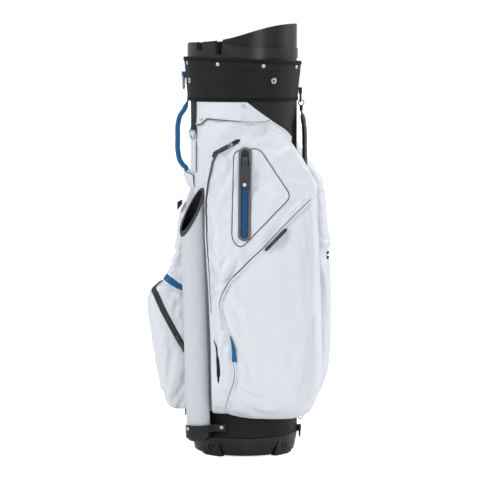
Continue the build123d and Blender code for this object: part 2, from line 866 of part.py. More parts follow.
# ---------------------------------------------------------------- shoulder strap
RING_X, RING_LENGTH, RING_SHIFT, RING_WIRE = 115.0, 20.0, 2.6, 1.6
STRAP_X = RING_X + 1.4
TOP_TAB = radial_plane(0, collar_radius(748) + 0.3, 741, 0, TOP_X)
BOTTOM_TAB = radial_plane(0, CORE_RADIUS + 0.4, 44)
TAB_RINGS = ((TOP_TAB, -RING_SHIFT, 0), (BOTTOM_TAB, RING_SHIFT, 180))
with BuildPart() as strap_tabs:
    for tab, shift, _ in TAB_RINGS:
        depth = RING_X - tab.origin.X
        add(webbing_tab(tab, 13, 13, depth + 2.8, (shift, depth), RING_WIRE + 0.25))
save(strap_tabs, "strap_tabs")

with BuildPart() as strap_rings:
    for tab, shift, turn in TAB_RINGS:
        hang = Plane(at(tab, 0, shift, RING_X - tab.origin.X), x_dir=tab.x_dir, z_dir=tab.z_dir)
        add(d_ring(hang.rotated((0, 0, turn)), 22, RING_LENGTH, RING_WIRE))
save(strap_rings, "strap_rings")

TOP_LINK = Vector(RING_X, 0, TOP_TAB.origin.Z - RING_SHIFT - RING_LENGTH)
BOTTOM_LINK = Vector(RING_X, 0, BOTTOM_TAB.origin.Z + RING_SHIFT + RING_LENGTH)
STRAP_TOP, STRAP_BOTTOM = TOP_LINK.Z - 18, BOTTOM_LINK.Z + 18
STRAP_PATH = [
    (STRAP_X, STRAP_TOP),
    (119, 690),
    (124, 600),
    (124.5, 430),
    (122, 250),
    (117.5, 130),
    (STRAP_X, STRAP_BOTTOM),
]


def strap_strip(thick, half_width, low, high):
    """A strip along the shoulder strap's path, between two heights, as a free object."""
    with BuildPart(mode=Mode.PRIVATE) as made:
        with BuildSketch(Plane((0, half_width, 0), x_dir=(1, 0, 0), z_dir=(0, -1, 0))):
            with BuildLine() as path:
                Spline(*STRAP_PATH)
            trace(path.line, line_width=thick)
        extrude(amount=2 * half_width)
        with BuildSketch(Plane.XY.offset(low)):
            Rectangle(600, 100)
        extrude(amount=high - low, mode=Mode.INTERSECT)
    return made.part


with BuildPart() as strap_webbing:
    add(strap_strip(2.4, 15, STRAP_BOTTOM + 0.5, STRAP_TOP - 0.5))
save(strap_webbing, "strap_webbing")

with BuildPart() as strap_pad:
    add(strap_strip(9.0, 26, 340, 692))
    add(strap_strip(2.8, 15.3, 300, 720), mode=Mode.SUBTRACT)
save(strap_pad, "strap_pad")

with BuildPart() as strap_adjuster:
    add(strap_strip(6.0, 19, 205, 231))
    add(strap_strip(2.8, 15.3, 190, 250), mode=Mode.SUBTRACT)
save(strap_adjuster, "strap_adjuster")


def strap_hook(link, way):
    """A snap hook: an eye linked with the ring at link, and a body towards the strap."""
    eye_z = link.Z - 2.2 * way
    low, high = sorted((eye_z - 5.6 * way, link.Z - 18 * way))
    flat_low, flat_high = sorted((link.Z - 14 * way, link.Z - 18 * way))
    with BuildPart(mode=Mode.PRIVATE) as made:
        with BuildSketch(Plane((STRAP_X, 0, eye_z), x_dir=(1, 0, 0), z_dir=(0, -1, 0))):
            Circle(6.6)
            Circle(4.8, mode=Mode.SUBTRACT)
        extrude(amount=1.6, both=True)
        with BuildSketch(Plane((STRAP_X, 0, low))):
            Circle(3.2)
        extrude(amount=high - low)
        with BuildSketch(Plane((STRAP_X, 0, flat_low))):
            RectangleRounded(5, 30, 1.5)
        extrude(amount=flat_high - flat_low)
    return made.part


with BuildPart() as strap_hook_top:
    add(strap_hook(TOP_LINK, 1))
save(strap_hook_top, "strap_hook_top")

with BuildPart() as strap_hook_bottom:
    add(strap_hook(BOTTOM_LINK, -1))
save(strap_hook_bottom, "strap_hook_bottom")

# ---------------------------------------------------------------- valuables pocket panel
PANEL_THICKNESS = 2.4
PANEL_CENTRE = (14.0, 538.0)
PANEL = face_plane(*PANEL_CENTRE, lift=0.2)
PANEL_OUTLINE = [(-23.6, 85.5), (-26, -89.5), (-8.6, -108.6), (92, -4), (27, 91.5)]
SLOT_X, SLOT_LENGTH, SLOT_WIDTH = -0.5, 187.0, 26.0
SLOT_OPEN = 15.0
with BuildPart() as valuables_panel:
    with BuildSketch(PANEL) as outline:
        with BuildLine():
            Polyline(*PANEL_OUTLINE, close=True)
        make_face()
        fillet(outline.vertices(), 13)
    extrude(amount=PANEL_THICKNESS)
save(valuables_panel, "valuables_panel")

SURROUND = PANEL.offset(PANEL_THICKNESS + 0.1)
with BuildPart() as valuables_surround:
    with BuildSketch(SURROUND):
        with Locations(Location((SLOT_X, 0, 0), (0, 0, 90))):
            SlotOverall(SLOT_LENGTH, SLOT_WIDTH)
            SlotOverall(SLOT_LENGTH - 11, SLOT_OPEN, mode=Mode.SUBTRACT)
    extrude(amount=2.6)
save(valuables_surround, "valuables_surround")

with BuildPart() as valuables_tape:
    with BuildSketch(SURROUND):
        with Locations(Location((SLOT_X, 0, 0), (0, 0, 90))):
            SlotOverall(SLOT_LENGTH - 12, SLOT_OPEN - 0.6)
    extrude(amount=1.2)
save(valuables_tape, "valuables_tape")


# ---------------------------------------------------------------- zips
def zip_slider(plane, width, length, height):
    """A slider on a zip: a body with two ears and a cross pin. y_dir runs up the zip."""
    ear = width * 0.24
    pin = Plane(at(plane, -width / 2 + 0.2, 0, height - 1.6), x_dir=plane.z_dir, z_dir=plane.x_dir)
    with BuildPart(mode=Mode.PRIVATE) as made:
        with BuildSketch(plane):
            RectangleRounded(width, length, width * 0.28)
        extrude(amount=1.6)
        with BuildSketch(plane.offset(1.5)):
            with Locations((-(width - ear) / 2, 0), ((width - ear) / 2, 0)):
                Rectangle(ear, 5.0)
        extrude(amount=height - 1.5)
        with BuildSketch(pin):
            Circle(0.8)
        extrude(amount=width - 0.4)
    return made.part


def zip_pull(plane, slider_width, height, width, length, thick, eyelet):
    """A pull that turns on the slider's pin and hangs towards -y."""
    neck = slider_width * 0.52 - 0.5
    pin_z = height - 1.6
    side_on = Plane(at(plane, -neck / 2, 0, pin_z), x_dir=plane.y_dir, z_dir=plane.x_dir)
    with BuildPart(mode=Mode.PRIVATE) as made:
        with BuildSketch(side_on):
            Circle(1.6)
            with Locations((-4.5, 0)):
                Rectangle(9, 1.8)
            Circle(0.9, mode=Mode.SUBTRACT)
        extrude(amount=neck)
        with BuildSketch(plane.offset(pin_z - thick / 2)):
            with Locations((0, -7.5 - length / 2)):
                RectangleRounded(width, length, width * 0.35)
            if eyelet:
                with Locations((0, -7.5 - length + eyelet + 3.5)):
                    Circle(eyelet, mode=Mode.SUBTRACT)
        extrude(amount=thick)
    return made.part


def zip_tape(plane, width, low, high, thick):
    """A straight strip of zip on a plane, along y from low to high."""
    with BuildPart(mode=Mode.PRIVATE) as made:
        with BuildSketch(plane):
            with Locations((0, (low + high) / 2)):
                RectangleRounded(width, high - low, width * 0.3)
        extrude(amount=thick)
    return made.part


# The valuables zip: its slider hides under a wide rubber pull near the top of the slot.
VALUABLES_SLIDER_V = 66.0
slider_at = at(SURROUND, SLOT_X, VALUABLES_SLIDER_V, 1.4)
VALUABLES_PLANE = Plane(slider_at, x_dir=SURROUND.x_dir, z_dir=SURROUND.z_dir)

# The other zips: name, plane on the tape's face at the slider, slider width, tape's width, tape's
# ends along the zip, and the pull's width and length.
lower_turn = 45.7 - 90.0
NEAR_LOWER = face_plane(88.0, 460.0, lift=LOWER_STEP + 0.3, turn=lower_turn)
GARMENT = face_plane(-17.0, 634.5, lift=0.3, turn=29.0 - 90.0)
FAR_SIDE = face_plane(26.0, 600.0, side=1, lift=0.3)
BALL = Plane((-129.3, -72.3, 238.2), x_dir=(97, 0, 54), z_dir=(0, -1, 0))
ZIPS = (
    ("garment", GARMENT, 6.5, 10.0, -34.0, 20.0, 6.5, 22.0),
    ("lower", NEAR_LOWER, 6.5, 9.0, -46.0, 14.0, 6.5, 24.0),
    ("far_side", FAR_SIDE, 7.0, 11.0, -150.0, 18.0, 7.0, 28.0),
    ("ball", BALL, 7.0, 12.0, -20.0, 88.0, 7.0, 24.0),
)
SLIDER_LENGTH, SLIDER_HEIGHT = 11.0, 5.6
TAPE = 1.2

with BuildPart() as valuables_slider:
    add(zip_slider(VALUABLES_PLANE, 10.0, 15.0, 7.4))
save(valuables_slider, "valuables_slider")

with BuildPart() as valuables_pull:
    add(zip_pull(VALUABLES_PLANE, 10.0, 7.4, 19.0, 46.0, 3.4, 2.3))
save(valuables_pull, "valuables_pull")

with BuildPart() as zip_tapes:
    for _, plane, _, tape_width, low, high, _, _ in ZIPS:
        add(zip_tape(plane, tape_width, low, high, TAPE))
save(zip_tapes, "zip_tapes")

for name, plane, slider_width, _, _, _, pull_width, pull_length in ZIPS:
    with BuildPart() as slider:
        add(zip_slider(plane.offset(TAPE + 0.2), slider_width, SLIDER_LENGTH, SLIDER_HEIGHT))
    save(slider, f"{name}_slider")
    with BuildPart() as pull:
        add(zip_pull(plane.offset(TAPE + 0.2), slider_width, SLIDER_HEIGHT, pull_width, pull_length, 1.8, 0))
    save(pull, f"{name}_pull")

# ---------------------------------------------------------------- small trim
# two elastic loops on the far side pocket's rear edge hold tees or a pencil
with BuildPart() as tee_loops:
    for z in (398, 388):
        with BuildSketch(Plane((168.0, 88, z))):
            Rectangle(4.0, 24)
        extrude(amount=4.5)
    add(prism_y([(100, 380), (161.2, 380), (161.2, 410), (100, 410)]), mode=Mode.SUBTRACT)
save(tee_loops, "tee_loops")
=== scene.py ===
from math import cos, pi, radians, sin, sqrt

import bmesh
import bpy
import numpy as np
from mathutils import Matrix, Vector


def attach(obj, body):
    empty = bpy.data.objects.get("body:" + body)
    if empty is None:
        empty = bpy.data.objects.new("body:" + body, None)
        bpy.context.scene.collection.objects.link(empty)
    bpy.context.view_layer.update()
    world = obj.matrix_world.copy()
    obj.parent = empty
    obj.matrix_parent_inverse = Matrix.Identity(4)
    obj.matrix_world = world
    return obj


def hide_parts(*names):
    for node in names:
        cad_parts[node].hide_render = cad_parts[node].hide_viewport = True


bl_info = {
    "name": "Cart golf bag",
    "version": (1, 0, 0),
    "blender": (4, 5, 0),
    "location": "3D View > Sidebar > Golf Bag",
    "description": "Cloth, zips, webbing and finishes of a cart golf bag on its packed frame",
    "category": "Object",
}

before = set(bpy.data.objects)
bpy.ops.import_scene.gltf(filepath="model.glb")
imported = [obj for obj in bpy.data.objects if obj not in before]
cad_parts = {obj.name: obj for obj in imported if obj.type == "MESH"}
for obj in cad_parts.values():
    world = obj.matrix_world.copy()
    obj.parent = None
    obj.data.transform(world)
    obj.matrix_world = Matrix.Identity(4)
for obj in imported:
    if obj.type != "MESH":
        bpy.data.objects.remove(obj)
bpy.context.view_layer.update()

# Shapes are worked out in millimetres, in the frame's own axes: +Z up, -X the front with the
# ball pocket, +X the spine with the shoulder strap, -Y the near side with the umbrella tube.
MM = 0.001
BODY_RADIUS = 109.4
TOP_X = -3.5
BAND_LOW, BAND_HIGH = 39.9, 96  # the base band's cloth
LOOPS_HEIGHT = 395  # between the far pocket's two elastic loops
# along the valuables zip and out from the pocket's face, to the stud near the pull's free end:
# the slider's start less its nose and the pull's length, plus the eyelet's radius and margin,
# and the surround's plane less 0.1, the slider's gap and height, less its pin's drop, plus half
# the pull's thickness
PULL_EYE = 66 - 7.5 - 46 + 2.3 + 3.5
PULL_FACE = 2.6 + 1.4 + 7.4 - 1.6 + 1.7
COLLAR_LOW, COLLAR_HIGH = 721.0, 805.0
COLLAR_LOW_RADIUS, COLLAR_HIGH_RADIUS = 112.0, 119.6
COLLAR_SLOPE = -0.0385
FACE_TOP, FACE_SLOPE = (-127.0, 640.0), 0.1095
TUBE_FOOT = np.array((-84.0, -106.5, 58.0))
TUBE_HEAD = np.array((-95.0, -113.0, 503.6))
TUBE_RADIUS = 24.0

# the side pocket's seam, as (x, z) on its sloping face, from the front's foot up to the neck
SIDE_SEAM = [
    (-54, 96),
    (-55, 212),
    (-58, 300),
    (-61, 363),
    (-64, 408),
    (-67, 460),
    (-68, 530),
    (-66, 555),
    (-62, 582),
    (-56, 606),
    (-46.7, 618),
    (-17, 634.5),
    (0.5, 644.2),
    (14, 653),
    (34, 667),
    (60, 677),
]
# the lower pocket's seam: up its front edge and along the diagonal to the spine
LOWER_SEAM = [
    (30, 84),
    (-6, 90),
    (-21, 98),
    (-14.6, 134),
    (-3, 173),
    (-5.6, 204),
    (-9.6, 235),
    (-17.6, 262),
    (-27.6, 288),
    (-33, 322),
    (-25, 345),
    (20.4, 399),
    (57.5, 435),
    (96, 477),
    (150, 531),
]
PANEL_CENTRE = (14.0, 538.0)
PANEL_OUTLINE = [(-23.6, 85.5), (-26, -89.5), (-8.6, -108.6), (92, -4), (27, 91.5)]


# ---------------------------------------------------------------- sizes and colours
def length(name, text, value, low=0.0, high=2.0):
    """A length property in metres."""
    return bpy.props.FloatProperty(
        name=name, description=text, default=value, min=low, max=high, unit="LENGTH", precision=4
    )


def colour(name, text, value):
    """A colour property."""
    return bpy.props.FloatVectorProperty(
        name=name, description=text, default=value, min=0.0, max=1.0, size=3, subtype="COLOR"
    )


class GolfBagSizes(bpy.types.PropertyGroup):
    """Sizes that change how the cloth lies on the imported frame"""

    cloth_thickness: length("Cloth thickness", "Thickness of the coated cloth", 0.0011, 0.0004, 0.003)
    crease_depth: length("Crease depth", "Depth of the deepest creases in the cloth", 0.0034, 0.0, 0.006)
    pocket_fill: length("Pocket fill", "How far the lower pocket stands out between its seams", 0.010, 0.002, 0.014)
    piping_radius: length("Piping radius", "Radius of the piping in the seams", 0.0012, 0.0005, 0.003)
    binding_width: length("Binding width", "Width of the collar's edge binding", 0.007, 0.003, 0.012)
    strap_padding: length("Strap padding", "Thickness of the shoulder strap's pad", 0.009, 0.004, 0.012)
    lens: bpy.props.FloatProperty(
        name="Lens", description="The stage camera's focal length in millimetres", default=150.0, min=35.0, max=300.0
    )


class GolfBagColours(bpy.types.PropertyGroup):
    """Colours of the cloth, plastic and metal"""

    cloth: colour("Coated cloth", "The white cloth of the body and the pockets", (0.73, 0.755, 0.80))
    accent: colour("Accent", "The handle, the stripe and the valuables zip", (0.006, 0.135, 0.36))
    black_cloth: colour("Black cloth", "The collar, the neck and the base band", (0.008, 0.0075, 0.0085))
    moulded: colour("Moulded plastic", "The organiser and the base", (0.010, 0.010, 0.011))
    zip_grey: colour("Zip surround", "The moulded surround of the valuables zip", (0.13, 0.135, 0.14))
    # the piping colour also paints the shadow under the yoke flaps' hems
    piping: colour("Piping", "The dark seam lines on the white cloth", (0.045, 0.048, 0.055))
    nickel: colour("Nickel", "Rivets, press studs and rings", (0.66, 0.64, 0.61))


# ---------------------------------------------------------------- numbers
def keyed(x, keys, values):
    """Values at x of a monotone cubic through (keys, values): the slope at a key is the harmonic
    mean of the two chords' slopes, or zero at a turning point."""
    k, v = np.asarray(keys, float), np.asarray(values, float)
    chord = np.diff(v) / np.diff(k)
    slope = np.zeros_like(v)
    slope[0], slope[-1] = chord[0], chord[-1]
    product = chord[:-1] * chord[1:]
    total = chord[:-1] + chord[1:]
    slope[1:-1] = np.where(product > 0, 2 * product / np.where(total == 0, 1, total), 0)
    x = np.clip(x, k[0], k[-1])
    i = np.clip(np.searchsorted(k, x, side="right") - 1, 0, len(k) - 2)
    h = k[i + 1] - k[i]
    t = (x - k[i]) / h
    a = v[i] * (1 + 2 * t) * (1 - t) ** 2 + v[i + 1] * t * t * (3 - 2 * t)
    return a + h * (slope[i] * t * (1 - t) ** 2 + slope[i + 1] * t * t * (t - 1))


def spline(points, count, closed=False):
    """count points, evenly spaced, on a cubic through the given points: the tangent at a point is
    the difference of its two neighbours, over the length between them."""
    p = np.asarray(points, float)
    if closed:
        p = np.vstack([p[-2:], p, p[:3]])
    gap = np.linalg.norm(np.diff(p, axis=0), axis=1)
    s = np.concatenate([[0], np.cumsum(gap)])
    tangent = np.gradient(p, s, axis=0)
    u = np.linspace(s[2], s[-3], count * 8) if closed else np.linspace(0, s[-1], count * 8)
    i = np.clip(np.searchsorted(s, u, side="right") - 1, 0, len(s) - 2)
    h = (s[i + 1] - s[i])[:, None]
    t = ((u - s[i]) / h[:, 0])[:, None]
    q = p[i] * (1 + 2 * t) * (1 - t) ** 2 + p[i + 1] * t * t * (3 - 2 * t)
    q = q + h * (tangent[i] * t * (1 - t) ** 2 + tangent[i + 1] * t * t * (t - 1))
    return resample(q, count, closed)


def resample(q, count, closed=False):
    """The same line as q with count points evenly spaced along it."""
    run = np.concatenate([[0], np.cumsum(np.linalg.norm(np.diff(q, axis=0), axis=1))])
    at = np.linspace(0, run[-1], count + 1 if closed else count)
    out = np.stack([np.interp(at, run, q[:, i]) for i in range(q.shape[1])], axis=1)
    return out[:-1] if closed else out


def rounded(points, radius, count):
    """A closed polygon's outline with each corner cut back and rounded by a quadratic curve."""
    p = np.asarray(points, float)
    before, after = np.roll(p, 1, axis=0) - p, np.roll(p, -1, axis=0) - p
    a = p + before / np.linalg.norm(before, axis=1)[:, None] * radius
    b = p + after / np.linalg.norm(after, axis=1)[:, None] * radius
    t = np.linspace(0, 1, 12)[None, :, None]
    arc = a[:, None] * (1 - t) ** 2 + 2 * p[:, None] * t * (1 - t) + b[:, None] * t**2
    line = arc.reshape(-1, p.shape[1])
    return resample(np.vstack([line, line[:1]]), count, closed=True)


def basis(controls, samples, degree=3):
    """Clamped uniform B-spline weights: a matrix of samples by controls, by Cox and de Boor."""
    knots = np.concatenate([np.zeros(degree), np.linspace(0, 1, controls - degree + 1), np.ones(degree)])
    u = np.linspace(0, 1, samples)
    u[-1] -= 1e-9
    weights = ((u[:, None] >= knots[None, :-1]) & (u[:, None] < knots[None, 1:])).astype(float)
    for d in range(1, degree + 1):
        left, right = knots[d:-1] - knots[: -d - 1], knots[d + 1 :] - knots[1:-d]
        rise = (u[:, None] - knots[None, : -d - 1]) / np.where(left == 0, 1, left) * (left > 0)
        fall = (knots[None, d + 1 :] - u[:, None]) / np.where(right == 0, 1, right) * (right > 0)
        weights = rise * weights[:, :-1] + fall * weights[:, 1:]
    return weights


def smoothstep(t):
    """0 below 0, 1 above 1, and a smooth cubic between."""
    t = np.clip(t, 0, 1)
    return t * t * (3 - 2 * t)


def value_noise(x, y, seed):
    """Smooth noise from -1 to 1: random values on a unit lattice, joined by smooth steps."""
    table = np.random.default_rng(seed).uniform(-1, 1, (64, 64))
    i, j = np.floor(x).astype(int), np.floor(y).astype(int)
    s, t = smoothstep(x - i), smoothstep(y - j)
    low = table[i % 64, j % 64] * (1 - s) + table[(i + 1) % 64, j % 64] * s
    high = table[i % 64, (j + 1) % 64] * (1 - s) + table[(i + 1) % 64, (j + 1) % 64] * s
    return low * (1 - t) + high * t


def distance(x, z, line):
    """Distance of each (x, z) from a polyline, and how far along the line its nearest point is, 0 to 1."""
    line = np.asarray(line, float)
    a, d = line[:-1], np.diff(line, axis=0)
    best, share = np.full(np.shape(x), 1e9), np.zeros(np.shape(x))
    for k in range(len(a)):
        t = np.clip(((x - a[k, 0]) * d[k, 0] + (z - a[k, 1]) * d[k, 1]) / (d[k] @ d[k]), 0, 1)
        away = np.hypot(x - a[k, 0] - t * d[k, 0], z - a[k, 1] - t * d[k, 1])
        nearer = away < best
        share = np.where(nearer, (k + t) / len(a), share)
        best = np.where(nearer, away, best)
    return best, share


def inside(x, z, polygon):
    """1 inside a closed polygon and -1 outside, by counting edge crossings."""
    p = np.asarray(polygon, float)
    crossings = np.zeros(np.shape(x), int)
    for (x0, z0), (x1, z1) in zip(p, np.roll(p, -1, axis=0)):
        cuts = (z0 > z) != (z1 > z)
        at = x0 + (z - z0) * (x1 - x0) / (z1 - z0 if z1 != z0 else 1)
        crossings += cuts & (x < at)
    return np.where(crossings % 2 == 1, 1, -1)


def creases(x, z, folds):
    """Sum of creases: each is a groove along a line with a soft ridge beside it, fading at both ends.
    A fold is (points, width, depth)."""
    total = np.zeros(np.shape(x))
    for line, width, depth in folds:
        line = np.asarray(line, float)
        away, share = distance(x, z, line)
        side = np.sign(
            (line[-1, 0] - line[0, 0]) * (z - line[0, 1]) - (line[-1, 1] - line[0, 1]) * (x - line[0, 0])
        )
        fade = smoothstep(share * 4) * smoothstep((1 - share) * 4)
        ridge = np.exp(-(((away * side - 1.7 * width) / (1.3 * width)) ** 2))
        total += fade * depth * (0.8 * ridge - np.exp(-((away / width) ** 2)))
    return total


# ---------------------------------------------------------------- meshes
def normals_of(points):
    """Unit normals of a grid of points: the cross product of its two directions' differences."""
    along, across = np.gradient(points, axis=0), np.gradient(points, axis=1)
    n = np.cross(across, along)
    return n / np.maximum(np.linalg.norm(n, axis=2, keepdims=True), 1e-9)


def new_piece(name, grids, material, body="bag", replaces=(), smooth=True, thick=0.0):
    """One mesh object from grids of points in millimetres. A grid is (points, close_rows,
    close_columns). Faces join each point with its neighbours. The UV map holds the running length
    along columns and rows, in centimetres. thick gives the cloth a wall on its inner side."""
    verts, faces, uvs, base = [], [], [], 0
    for points, close_rows, close_columns in grids:
        rows, columns = points.shape[:2]
        i = np.arange(rows if close_rows else rows - 1)[:, None]
        j = np.arange(columns if close_columns else columns - 1)[None, :]
        i2, j2 = (i + 1) % rows, (j + 1) % columns
        quad = np.stack([i * columns + j, i * columns + j2, i2 * columns + j2, i2 * columns + j], axis=-1)
        faces.append(quad.reshape(-1, 4) + base)
        ring = np.concatenate([points, points[:, :1]], axis=1)
        u = np.concatenate([[0], np.cumsum(np.linalg.norm(np.diff(ring, axis=1), axis=2).mean(0))])
        stack = np.concatenate([points, points[:1]], axis=0)
        v = np.concatenate([[0], np.cumsum(np.linalg.norm(np.diff(stack, axis=0), axis=2).mean(1))])
        u, v = u / 10, v / 10
        one, ii, jj = np.ones_like(i * j), i + 0 * j, j + 0 * i
        uvs.append(
            np.stack(
                [
                    np.stack([u[jj], v[ii]], -1),
                    np.stack([u[jj + one], v[ii]], -1),
                    np.stack([u[jj + one], v[ii + one]], -1),
                    np.stack([u[jj], v[ii + one]], -1),
                ],
                axis=2,
            ).reshape(-1, 2)
        )
        verts.append(points.reshape(-1, 3))
        base += rows * columns
    mesh = bpy.data.meshes.new(name)
    mesh.from_pydata((np.concatenate(verts) * MM).tolist(), [], np.concatenate(faces).tolist())
    layer = mesh.uv_layers.new(name="Cloth")
    layer.data.foreach_set("uv", np.concatenate(uvs).astype(np.float32).ravel())
    work = bmesh.new()
    work.from_mesh(mesh)
    bmesh.ops.remove_doubles(work, verts=work.verts, dist=2e-6)
    bmesh.ops.dissolve_degenerate(work, edges=work.edges, dist=1e-7)
    if all(len(edge.link_faces) > 1 for edge in work.edges):
        bmesh.ops.recalc_face_normals(work, faces=work.faces)
    work.to_mesh(mesh)
    work.free()
    mesh.polygons.foreach_set("use_smooth", np.full(len(mesh.polygons), smooth))
    mesh.materials.append(material)
    piece = bpy.data.objects.new(name, mesh)
    bpy.context.scene.collection.objects.link(piece)
    if thick:
        wall = piece.modifiers.new("Cloth wall", "SOLIDIFY")
        wall.thickness, wall.offset = thick * MM, -1
    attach(piece, body)
    if replaces:
        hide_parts(*replaces)
    return piece


def closed_ends(points):
    """A tube's grid with its first and last rows drawn together to a point, so its ends are closed."""
    first = np.broadcast_to(points[0].mean(0), points[0].shape)[None]
    last = np.broadcast_to(points[-1].mean(0), points[-1].shape)[None]
    return np.concatenate([first, points, last])


def carry(path, up, profile, tip=0.0):
    """A profile of (across, out) carried along a path of points, where up is the outward direction
    at each: a point is path + across * side + out * up, with side square to the path and to up.
    tip rounds both ends by shrinking the profile over the last tip millimetres."""
    tangent = np.gradient(path, axis=0)
    tangent /= np.linalg.norm(tangent, axis=1, keepdims=True)
    up = up - (up * tangent).sum(1, keepdims=True) * tangent
    up /= np.linalg.norm(up, axis=1, keepdims=True)
    side = np.cross(tangent, up)
    profile = np.asarray(profile, float)
    if profile.ndim == 2:
        profile = np.broadcast_to(profile, (len(path),) + profile.shape)
    if tip:
        run = np.concatenate([[0], np.cumsum(np.linalg.norm(np.diff(path, axis=0), axis=1))])
        near = np.clip(np.minimum(run, run[-1] - run) / tip, 0, 1)
        profile = profile * np.stack([np.sqrt(1 - (1 - near) ** 2)] * 2, -1)[:, None, :] * [1, 1]
    return path[:, None] + profile[..., :1] * side[:, None] + profile[..., 1:] * up[:, None]


def oval(width, height, count=16, power=2.6, lift=0.0):
    """A closed profile: a superellipse of the given width and height, its middle lifted by lift."""
    a = np.linspace(0, 2 * pi, count, endpoint=False)
    c, s = np.cos(a), np.sin(a)
    x = np.sign(c) * np.abs(c) ** (2 / power) * width / 2
    y = np.sign(s) * np.abs(s) ** (2 / power) * height / 2
    return np.stack([x, y + lift], -1)


def on_plane(origin, out, up, profile, count=20):
    """A profile of (radius, height) turned round a plane's normal: a rivet, stud or boss."""
    origin, out, up = (np.asarray(v, float) for v in (origin, out, up))
    out = out / np.linalg.norm(out)
    side = np.cross(up, out)
    side /= np.linalg.norm(side)
    rise = np.cross(out, side)
    a = np.linspace(0, 2 * pi, count, endpoint=False)[None, :, None]
    p = np.asarray(profile, float)[:, None, :]
    return origin + p[..., :1] * (np.cos(a) * side + np.sin(a) * rise) + p[..., 1:] * out


def dome_profile(radius, height, foot=0.0):
    """A rivet head: a rim that meets the cloth, then a quarter ellipse to the crown."""
    a = np.linspace(0, pi / 2, 7)
    crown = np.stack([radius * np.cos(a), height * np.sin(a)], -1)
    crown[-1, 0] = 0.0
    return np.vstack([[radius * 0.9, -0.6 - foot], [radius, 0.0], crown[1:]])


def eased(line, times=6):
    """A line with its inner points averaged with their neighbours, ends kept."""
    line = line.copy()
    for _ in range(times):
        line[1:-1] = 0.25 * line[:-2] + 0.5 * line[1:-1] + 0.25 * line[2:]
    return line


class Skin:
    """A cloth surface kept as a grid of points, so that seams, zips and stripes can lie on it."""

    def __init__(self, points, rows, columns=None):
        self.points, self.normals = points, normals_of(points)
        self.rows, self.columns = rows, columns

    def at(self, row, column, lift=0.0):
        """Points at fractional rows and columns, lifted along the normal, and the normals there."""
        n, m = self.points.shape[:2]
        i = np.clip(np.floor(row).astype(int), 0, n - 2)
        j = np.clip(np.floor(column).astype(int), 0, m - 2)
        s, t = (row - i)[..., None], (column - j)[..., None]

        def mix(g):
            return (g[i, j] * (1 - t) + g[i, j + 1] * t) * (1 - s) + (g[i + 1, j] * (1 - t) + g[i + 1, j + 1] * t) * s

        out = mix(self.normals)
        out /= np.linalg.norm(out, axis=-1, keepdims=True)
        return mix(self.points) + np.asarray(lift)[..., None] * out, out

    def find(self, value, z):
        """Fractional row and column where the surface has the given column value (x, or an angle)
        and height. The columns' values are a table, turned round row by row."""
        row = np.interp(z, self.rows, np.arange(len(self.rows)))
        low, high = self.columns.min(), self.columns.max()
        steps = np.linspace(low, high, 600)
        if not hasattr(self, "table"):
            counts = np.arange(self.columns.shape[1])
            rising = np.maximum.accumulate(self.columns, axis=1) + counts * 1e-6
            self.table = np.stack([np.interp(steps, r, counts) for r in rising])
        f = np.clip((value - low) / (high - low) * 599, 0, 598.999)
        i, j = np.clip(row.astype(int), 0, len(self.rows) - 2), f.astype(int)
        s, t = row - i, f - j
        a = self.table[i, j] * (1 - t) + self.table[i, j + 1] * t
        b = self.table[i + 1, j] * (1 - t) + self.table[i + 1, j + 1] * t
        return row, a * (1 - s) + b * s

    def strip(self, line, profile, lift=0.0, tip=0.0, smooth=4):
        """A profile carried along a line of (column value, z) that lies on the surface."""
        place = eased(np.stack(self.find(line[:, 0], line[:, 1]), -1), smooth)
        path, up = self.at(place[:, 0], place[:, 1], lift)
        return carry(eased(path), eased(up, 12), profile, tip)


# ---------------------------------------------------------------- cloth that is let hang
def upsample(count, coarse):
    """Uniform cubic B-spline weights that carry values from coarse evenly spaced places to count."""
    u = np.linspace(0, coarse - 1, count)
    i = np.minimum(u.astype(int), coarse - 2)
    t = u - i
    parts = ((1 - t) ** 3, 3 * t**3 - 6 * t**2 + 4, -3 * t**3 + 3 * t**2 + 3 * t + 1, t**3)
    weights = np.zeros((count, coarse))
    for k, part in enumerate(parts):
        np.add.at(weights, (np.arange(count), np.clip(i + k - 1, 0, coarse - 1)), part / 6)
    return weights


